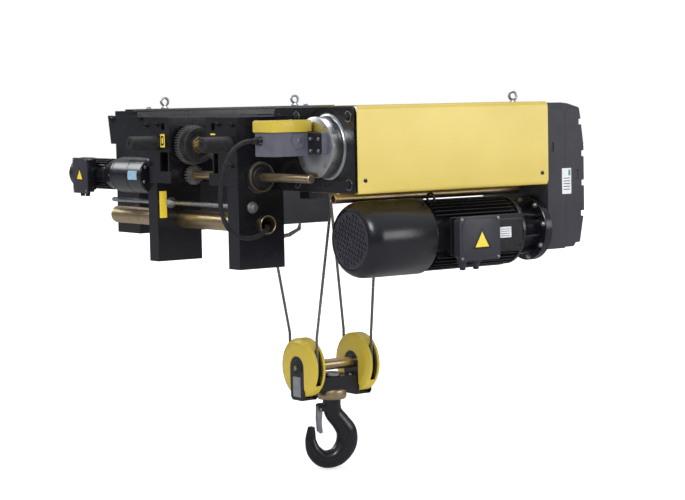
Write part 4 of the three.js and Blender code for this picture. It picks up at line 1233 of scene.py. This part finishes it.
def make_stator():
    y, z = MOTOR["y"], MOTOR["z"]
    at = (0, y, z)
    bm = bmesh.new()
    lathe(bm, "x", (
        (84, 300), (112, 287), (112, 292), (98, 300), (97, 302), (97, 632), (99, 636), (99, 640),
        (84, 640), (84, 300),
    ), at, 96)
    count = 44
    for i in range(count):
        a = 2 * math.pi * (i + 0.5) / count
        degrees = math.degrees(a)
        if 148 < degrees < 212:
            continue
        reach = 112.5
        fin = bmesh.new()
        lift = [(302, 96), (306, reach - 2), (310, reach), (624, reach), (630, reach - 2), (634, 96)]
        for side in (-1, 1):
            for x, rr in lift:
                width = 1.0 if rr > 100 else 1.8
                fin.verts.new((x, rr, side * width))
        fin.verts.ensure_lookup_table()
        n = len(lift)
        fin.faces.new([fin.verts[k] for k in range(n)])
        fin.faces.new([fin.verts[n + k] for k in range(n)][::-1])
        for k in range(n):
            j = (k + 1) % n
            fin.faces.new((fin.verts[k], fin.verts[j], fin.verts[n + j], fin.verts[n + k]))
        fin.transform(Matrix.Translation(at) @ Matrix.Rotation(a, 4, "X"))
        merge(bm, fin)
    place("stator", bm, BLACK, "trolley", angle=30, replaces=["motor_stator"])
    bm = bmesh.new()
    box(bm, (345, 640), (y - 108, y - 84), (z - 60, z + 60))
    box(bm, (522, 628), (y - 124, y - 105), (z - 50, z + 44))
    place("stator_pads", bm, BLACK, "trolley", bevel=2.0)
    bm = bmesh.new()
    plate(bm, "y", rounded((530, 578), (-246, -212), 2), (y - 124.9, y - 124.2), (), 0.2)
    place("stator_nameplate", bm, WHITE_LABEL, "trolley")
    bm = bmesh.new()
    for row in range(4):
        plate(
            bm, "y", rounded((536, 572), (-220 - row * 7, -218.4 - row * 7), 0.6, 2),
            (y - 125.1, y - 124.8), (), 0.05,
        )
    place("stator_nameplate_bars", bm, PLASTIC, "trolley")
    bm = bmesh.new()
    ring(bm, (318, y - 44, z + 118), 17, 4, "x")
    lathe(bm, "z", ((0, 78), (14, 78), (14, 82), (8, 88), (6, 90), (6, 102), (0, 102)), (318, y - 44, z), 32)
    for x in (532, 618):
        for dz in (-42, 36):
            bolt(bm, (x, y - 123.8, z + dz), "-y", 9, 3, washer=False)
    place("stator_eye", bm, BLACK, "trolley")

    bm = bmesh.new()
    lathe(bm, "x", (
        (60, 642), (104, 641), (108, 641), (110, 643), (110, 652), (108, 654), (90, 655), (87, 658),
        (76, 700),
        (68, 736), (68, 744), (102, 744), (104, 746), (104, 770), (102, 772), (60, 772), (60, 642),
    ), at, 96)
    for i in range(8):
        a = i * math.pi / 4 + 0.2
        rib = bmesh.new()
        box(rib, (655, 745), (60, 98), (-3.2, 3.2))
        for vert in rib.verts:
            if vert.co.y > 90 and vert.co.x < 700:
                vert.co.y = 96
            elif vert.co.y > 90:
                vert.co.y = 84
        rib.transform(Matrix.Translation(at) @ Matrix.Rotation(a, 4, "X"))
        merge(bm, rib)
    place("end_shield", bm, BLACK, "trolley", replaces=["motor_end_shield"])
    bm = bmesh.new()
    for i in range(8):
        a = i * math.pi / 4 - 0.2
        spot = (744, y + 92 * math.cos(a), z + 92 * math.sin(a))
        bolt(bm, spot, "-x", 12, 7)
    for i in range(4):
        a = math.radians(45 + 90 * i)
        bolt(bm, (654, y + 98 * math.cos(a), z + 98 * math.sin(a)), "x", 10, 6)
    place("end_shield_bolts", bm, ZINC, "trolley", bevel=0.3)


def ring(bm, at, major, minor, axis, steps=48, sides=16):
    u, v, w = direction(axis)
    loops = []
    for i in range(steps):
        a = i * 2 * math.pi / steps
        out = u * math.cos(a) + v * math.sin(a)
        turn = [k * 2 * math.pi / sides for k in range(sides)]
        loops.append([
            bm.verts.new(Vector(at) + out * (major + minor * math.cos(b)) + w * minor * math.sin(b))
            for b in turn
        ])
    for i in range(steps):
        low, high = loops[i], loops[(i + 1) % steps]
        for k in range(sides):
            j = (k + 1) % sides
            bm.faces.new((low[k], low[j], high[j], high[k]))


def chamfered(us, vs, c):
    return [
        (us[0] + c, vs[0]), (us[1] - c, vs[0]), (us[1], vs[0] + c), (us[1], vs[1] - c),
        (us[1] - c, vs[1]), (us[0] + c, vs[1]), (us[0], vs[1] - c), (us[0], vs[0] + c),
    ]


def make_terminal_box():
    z = MOTOR["z"]
    bm = bmesh.new()
    plate(bm, "y", rounded((353, 517), (z - 78, z + 62), 9), (-771.4, -766), (), 1.2)
    plate(bm, "y", chamfered((361, 509), (z - 70, z + 54), 20), (-774, -768), (), 1.6)
    place("terminal_lid", bm, SLATE, "trolley", replaces=["terminal_box_lid"])
    bm = bmesh.new()
    for x in (362, 508):
        for dz in (-69, 53):
            socket_screw(bm, (x, -771.2, z + dz), "-y", 4.4, 2.8)
    place("terminal_lid_screws", bm, ZINC, "trolley")
    warning_sign("terminal_sign", "y", (440, z - 20), 44, -774.2, "trolley")
    bm = bmesh.new()
    for x in (384, 438):
        lathe(bm, "-z", ((0, 0), (9, 0), (9.5, 2), (9.5, 7), (6, 9), (0, 9)), (x, -744, -330.4), 32)
    place("gland_caps", bm, PLASTIC, "trolley")


# ---------------------------------------------------------------- hook block, hook and ropes


def make_block():
    x, y, z = BLOCK["x"], BLOCK["y"], BLOCK["z"]
    for side, name in ((-1, "left"), (1, "right")):
        cx = x + side * BLOCK["half"]
        casing(f"{name}_cover", cx, y, z, "block", f"sheave_cover_{name}")
        bm = bmesh.new()
        lathe(bm, "x", (
            (19.6, -12), (29, -12), (30, -11), (34, -6), (62, -6), (66, -10), (88, -10), (89, -9), (76, -4.6),
            (74.4, -2.5), (74, 0), (74.4, 2.5), (76, 4.6), (89, 9), (88, 10), (66, 10), (62, 6), (34, 6),
            (30, 11), (29, 12), (19.6, 12), (19.6, -12),
        ), (cx, y, z), 96)
        place(f"{name}_sheave", bm, IRON, f"{name}_sheave", replaces=[f"sheave_{name}"])
        path = [(cx, y + 79, -588), (cx, y + 79, z)]
        path += [(cx, y + 79 * math.cos(a), z - 79 * math.sin(a)) for a in [math.pi * i / 24 for i in range(
            1, 24,
        )]]
        path += [(cx, y - 79, z), (cx, y - 79, -588)]
        bm = bmesh.new()
        stranded(bm, path)
        place(f"{name}_sheave_rope", bm, WIRE, "block")
        bm = bmesh.new()
        face = "x" if side > 0 else "-x"
        lathe(bm, face, (
            (0, 0), (25, 0), (26, 0.8), (25, 2.4), (21, 2.4), (20.4, 6.6), (19, 7.4), (9, 7.4),
            (7, 5.4), (0, 5.4),
        ), (cx + side * 29.4, y, z), 48)
        place(f"{name}_shaft_cap", bm, IRON, "block")
    bm = bmesh.new()
    rod(bm, "x", 19, (x - 149, x + 149), (0, y, z), 2, 72)
    place("sheave_shaft", bm, GOLD, "block", replaces=["block_shaft"])
    bm = bmesh.new()
    plate(bm, "x", rounded((y - 22, y + 22), (z - 98, z - 30), 2), (x - 143.2, x - 142.5), (), 0.2)
    place("block_label", bm, SILVER_LABEL, "block")
    bm = bmesh.new()
    lathe(bm, "z", (
        (20.8, -782.4), (48, -782.4), (50, -784), (51, -786), (51, -795), (50, -796), (50, -797),
        (51, -798), (51, -807),
        (49, -811), (47, -814), (46, -815), (20.8, -815), (20.8, -782.4),
    ), (x, y, 0), 72)
    place("thrust_race", bm, GOLD, "swing", replaces=["thrust_bearing"])
    bm = bmesh.new()
    for side in (-1, 1):
        rod(bm, "x", 22, sorted((x + side * 84, x + side * 86.5)), (0, y, z - 62), 0.8, 48)
        for dy in (-24, 24):
            socket_screw(bm, (x + side * 62, y + dy, z - 40), "z", 6, 5)
    place("crosshead_screws", bm, ZINC, "swing")


def casing(name, cx, y, z, body, node):
    """A closed sheave cover in two pressed halves, with rope slots in its rim and a notch for each hanger."""
    bm = bmesh.new()
    lathe(bm, "x", (
        (19.8, -29), (46, -29), (74, -29), (80, -28.4), (84, -26.6), (98, -20.6), (99.6, -18.6),
        (100, -16), (100, -1.2),
        (99, 0), (100, 1.2), (100, 16), (99.6, 18.6), (98, 20.6), (84, 26.6), (80, 28.4), (74, 29),
        (46, 29), (19.8, 29),
        (19.8, 20), (90, 20), (96.6, 17), (96.6, -17), (90, -20), (19.8, -20), (19.8, -29),
    ), (cx, y, z), 120)
    shell = place(name, bm, DEEP_YELLOW, body, angle=38, replaces=[node])
    bm = bmesh.new()
    for side in (-1, 1):
        slot = rounded((y + side * 94 - 20, y + side * 94 + 20), (z - 56, z + 76), 6)
        plate(bm, "x", slot, (cx - 11, cx + 11), (), 0.2)
        plate(bm, "x", hanger_outline(40), sorted((cx + side * 23, cx + side * 31)), (), 0.1)
    carve(shell, bm)
    return shell


def hanger_outline(w):
    """The hanger's outline: round over the shaft and straight down past the cover."""
    y, z = BLOCK["y"], BLOCK["z"]
    points = [(y + w * math.cos(a), z + w * math.sin(a)) for a in [math.pi * i / 24 for i in range(25)]]
    return points + [(y - w, z - 112), (y + w, z - 112)]


def carve(obj, bm):
    """Cuts a shape in design millimetres out of a placed piece."""
    bm.transform(TO_METRES)
    bmesh.ops.recalc_face_normals(bm, faces=bm.faces)
    mesh = bpy.data.meshes.new("cutter")
    bm.to_mesh(mesh)
    bm.free()
    cutter = bpy.data.objects.new("cutter", mesh)
    scene.collection.objects.link(cutter)
    made = obj.modifiers.new("carve", "BOOLEAN")
    made.operation = "DIFFERENCE"
    made.solver = "EXACT"
    made.object = cutter
    bpy.context.view_layer.update()
    graph = bpy.context.evaluated_depsgraph_get()
    finished = bpy.data.meshes.new_from_object(obj.evaluated_get(graph))
    obj.modifiers.clear()
    obj.data = finished
    shade(finished, 38)
    bpy.data.objects.remove(cutter)
    bpy.data.meshes.remove(mesh)


def hook_spine():
    return [
        (0, 0, 31, 30), (0, -24, 31, 29), (7, -50, 31, 28), (30, -80, 32, 28), (50, -116, 36, 30),
        (46, -160, 37, 31),
        (14, -198, 33, 31), (-32, -204, 30, 28), (-64, -178, 26, 24), (-76, -142, 20, 18),
        (-75, -114, 16, 14),
        (-73, -92, 12, 12),
    ]


def make_hook():
    x, y, top = HOOK["x"], HOOK["y"], HOOK["top"]
    turn = Matrix.Translation((x, y, 0)) @ Matrix.Rotation(math.radians(HOOK["turn"]), 4, "Z")
    spine = hook_spine()
    centres = smooth_path([(u, 0, v) for u, v, _, _ in spine], 9)
    widths = smooth_path([(w, t, 0) for _, _, w, t in spine], 9)
    sides = 40
    bm = bmesh.new()
    rings = []
    for i, (centre, size) in enumerate(zip(centres, widths)):
        ahead = (centres[min(i + 1, len(centres) - 1)] - centres[max(i - 1, 0)]).normalized()
        across = Vector((ahead.z, 0, -ahead.x))
        row = []
        for k in range(sides):
            a = k * 2 * math.pi / sides
            # Rounder on the throat side, with a slimmer back, like a forged section.
            taper = 1 - 0.16 * (1 - math.cos(a)) / 2 * min(1, i / 20)
            p = centre + across * size.x * math.cos(a) + Vector((0, size.y * taper * math.sin(a), 0))
            row.append(bm.verts.new(p))
        rings.append(row)
    for low, high in zip(rings, rings[1:]):
        for k in range(sides):
            j = (k + 1) % sides
            bm.faces.new((low[k], low[j], high[j], high[k]))
    tip = bm.verts.new(centres[-1] + (centres[-1] - centres[-2]).normalized() * 3.5)
    for k in range(sides):
        bm.faces.new((rings[-1][k], rings[-1][(k + 1) % sides], tip))
    bm.faces.new(rings[0][::-1])
    rod(bm, "z", 20, (-6, 91), (0, 0, 0), 1, 48)
    for s in (-1, 1):
        plate(bm, "y", [(-52, -18), (-44, -14), (-10, -14), (-10, -40), (-30, -40), (-52, -34)],
              sorted((s * 17.5 - 3.5, s * 17.5 + 3.5)), (), 1.0)
    bm.transform(Matrix.Translation((0, 0, top)))
    bm.transform(turn)
    place("forged_hook", bm, BLACK, "hook_body", angle=44, replaces=["hook"])
    bm = bmesh.new()
    bolt(bm, (-44, 21.2, top - 30), "y", 9, 3, washer=False)
    bolt(bm, (-44, -21.2, top - 30), "-y", 9, 3, washer=False)
    bm.transform(turn)
    place("latch_pin_heads", bm, ZINC, "hook_body")
    bm = bmesh.new()
    lathe(bm, "z", (
        (8, -737.4), (30, -737.4), (32, -735), (32, -728), (30, -725.2), (8, -725.2), (8, -737.4),
    ), (x, y, 0), 48)
    place("shank_nut", bm, ZINC, "hook_body")

    bm = bmesh.new()
    flange = [
        (-53, -23), (-37, -21), (-36, -44), (-39, -78), (-36, -112), (-46, -115), (-52, -108),
        (-55, -66),
    ]
    for way in (-1, 1):
        plate(bm, "y", flange, sorted((way * 13.2, way * 11.2)), (), 0.4)
    web = [
        (-40, -23), (-37.4, -23), (-36, -44), (-39, -78), (-36, -112), (-38.4, -113), (-41.4, -78),
        (-38.6, -44),
    ]
    plate(bm, "y", web, (-11.6, 11.6), (), 0.3)
    bm.transform(Matrix.Translation((0, 0, top)))
    bm.transform(turn)
    place("latch_plate", bm, ZINC, "latch", replaces=["hook_latch"])


def make_ropes():
    for number, (low, high) in FALLS.items():
        bm = bmesh.new()
        stranded(bm, [low, high])
        fall = place(f"fall_{number}", bm, WIRE, "trolley", angle=60, replaces=[f"rope_fall_{number}"])
        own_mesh(fall)

    x, y, z, r = RETURN["x"], RETURN["y"], RETURN["z"], RETURN["r"]
    turn = math.radians(RETURN["turn"])
    across = Vector((math.cos(turn), math.sin(turn), 0))
    centre = Vector((x, y, z))
    over = [centre + across * (r * math.cos(a)) + Vector((0, 0, r * math.sin(a)))
            for a in [math.pi * i / 24 for i in range(25)]]
    path = [Vector(FALLS[2][1]), *over, Vector(FALLS[3][1])]
    bm = bmesh.new()
    stranded(bm, path)
    place("return_rope", bm, WIRE, "trolley", angle=60)

    drum_side = Vector((FALLS[4][1][0], DRUM["y"] + DRUM["r"] + 4, DRUM["z"] + 6))
    bm = bmesh.new()
    stranded(bm, [Vector(FALLS[4][1]), drum_side])
    place("drum_rope_end", bm, WIRE, "trolley", angle=60)

    bm = bmesh.new()
    lathe(bm, "z", ((0, -82), (7, -82), (9, -78), (10, -66), (10, -60.2), (0, -60.2)), (31, -160, 0), 32)
    place("rope_socket", bm, ZINC, "trolley")


def make_return_sheave():
    bm = bmesh.new()
    lathe(bm, "y", (
        (10.4, -11), (20, -11), (21, -8), (40, -8), (42, -11), (57, -11), (58, -10), (49, -5),
        (46.6, -2.6), (46, 0),
        (46.6, 2.6), (49, 5), (58, 10), (57, 11), (42, 11), (40, 8), (21, 8), (20, 11), (10.4, 11),
        (10.4, -11),
    ), (0, 0, 0), 96)
    turn = Matrix.Rotation(math.radians(RETURN["turn"]), 4, "Z")
    bm.transform(Matrix.Translation((RETURN["x"], RETURN["y"], RETURN["z"])) @ turn)
    place("top_return_sheave", bm, IRON, "top_sheave", replaces=["return_sheave"])


# ---------------------------------------------------------------- cabinet


def make_cabinet_details():
    bm = bmesh.new()
    for z in (-200, -39, 120):
        rod(bm, "z", 6, (z - 26, z + 26), (4, 746, 0), 1, 32)
    place("door_hinges", bm, ZINC, "trolley")
    bm = bmesh.new()
    for x in (60, 740):
        bolt(bm, (x, 569.6 + 30, 177.8), "z", 13, 5)
    place("flange_bolts", bm, ZINC, "trolley")
    bm = bmesh.new()
    plate(bm, "y", rounded((300, 420), (60, 130), 3), (750.1, 750.8), (), 0.2)
    place("door_plate", bm, SILVER_LABEL, "door")
    warning_sign("door_sign", "y", (560, 60), 50, 750.2, "door")


def make_cabinet_inside():
    """Contactors, a transformer and a terminal strip over the plain blocks on the cabinet's back wall."""
    back = 582
    bm = bmesh.new()
    for i in range(5):
        x = 90 + i * 62
        box(bm, (x - 0.6, x + 46.6), (back, 664), (35.4, 114.6))
        box(bm, (x + 4, x + 42), (663, 676), (52, 98))
    place("contactors", bm, GREY, "trolley", bevel=1.2)
    bm = bmesh.new()
    faces = bmesh.new()
    for i in range(5):
        x = 90 + i * 62
        for k in range(3):
            for z in (42, 108):
                socket_screw(bm, (x + 10 + k * 13, 664, z), "y", 3.6, 1.8)
        plate(faces, "y", rounded((x + 10, x + 36), (84, 93), 1), (676, 676.5), (), 0.1)
    place("contactor_screws", bm, ZINC, "trolley")
    place("contactor_labels", faces, WHITE_LABEL, "trolley")
    bm = bmesh.new()
    box(bm, (559.4, 690.6), (back, 676), (-190.6, -168))
    box(bm, (559.4, 690.6), (back, 676), (-106, -83.4))
    box(bm, (559.4, 578), (back, 676), (-190, -84))
    box(bm, (672, 690.6), (back, 676), (-190, -84))
    place("transformer_core", bm, WORN_IRON, "trolley", bevel=1.0)
    bm = bmesh.new()
    for a, b in ((582, 623), (627, 668)):
        box(bm, (a, b), (back, 688), (-164, -110))
    place("transformer_coils", bm, BRASS, "trolley", bevel=6.0)
    bm = bmesh.new()
    for i in range(31):
        x = 89.4 + i * 12.3
        box(bm, (x, x + 11.5), (back, 624), (-176.6, -129.4))
    place("terminal_strip", bm, GREY, "trolley", bevel=0.8)
    bm = bmesh.new()
    for i in range(31):
        for z in (-168, -138):
            socket_screw(bm, (95.2 + i * 12.3, 624, z), "y", 3.4, 1.4)
    place("terminal_screws", bm, ZINC, "trolley")
    bm = bmesh.new()
    for z in (-96, -214):
        box(bm, (90, 470), (back, 612), (z - 13, z + 13))
    place("wire_ducts", bm, STEEL_BLUE, "trolley", bevel=1.0)
    bm = bmesh.new()
    for i in range(5):
        for k in range(3):
            x = 100 + i * 62 + k * 13
            route = [
                (x, 664, 44), (x, 668, 30), (x, 656, 0), (x - 2, 632, -40), (x - 3, 606, -72),
                (x - 3, 600, -88),
            ]
            sweep(bm, smooth_path(route, 5), 2.0, 10)
    place("contactor_wires", bm, RUBBER, "trolley")


make_camera()
make_studio()
dress_frame()
make_cord()
make_tubes()
make_clamp_rod()
make_wheels()
make_travel_drive()
make_frame_details()
make_drum()
make_cover_details()
make_switch()
make_gearbox_details()
make_fan_cover()
make_stator()
make_terminal_box()
make_block()
make_hook()
make_ropes()
make_return_sheave()
make_cabinet_details()
make_cabinet_inside()
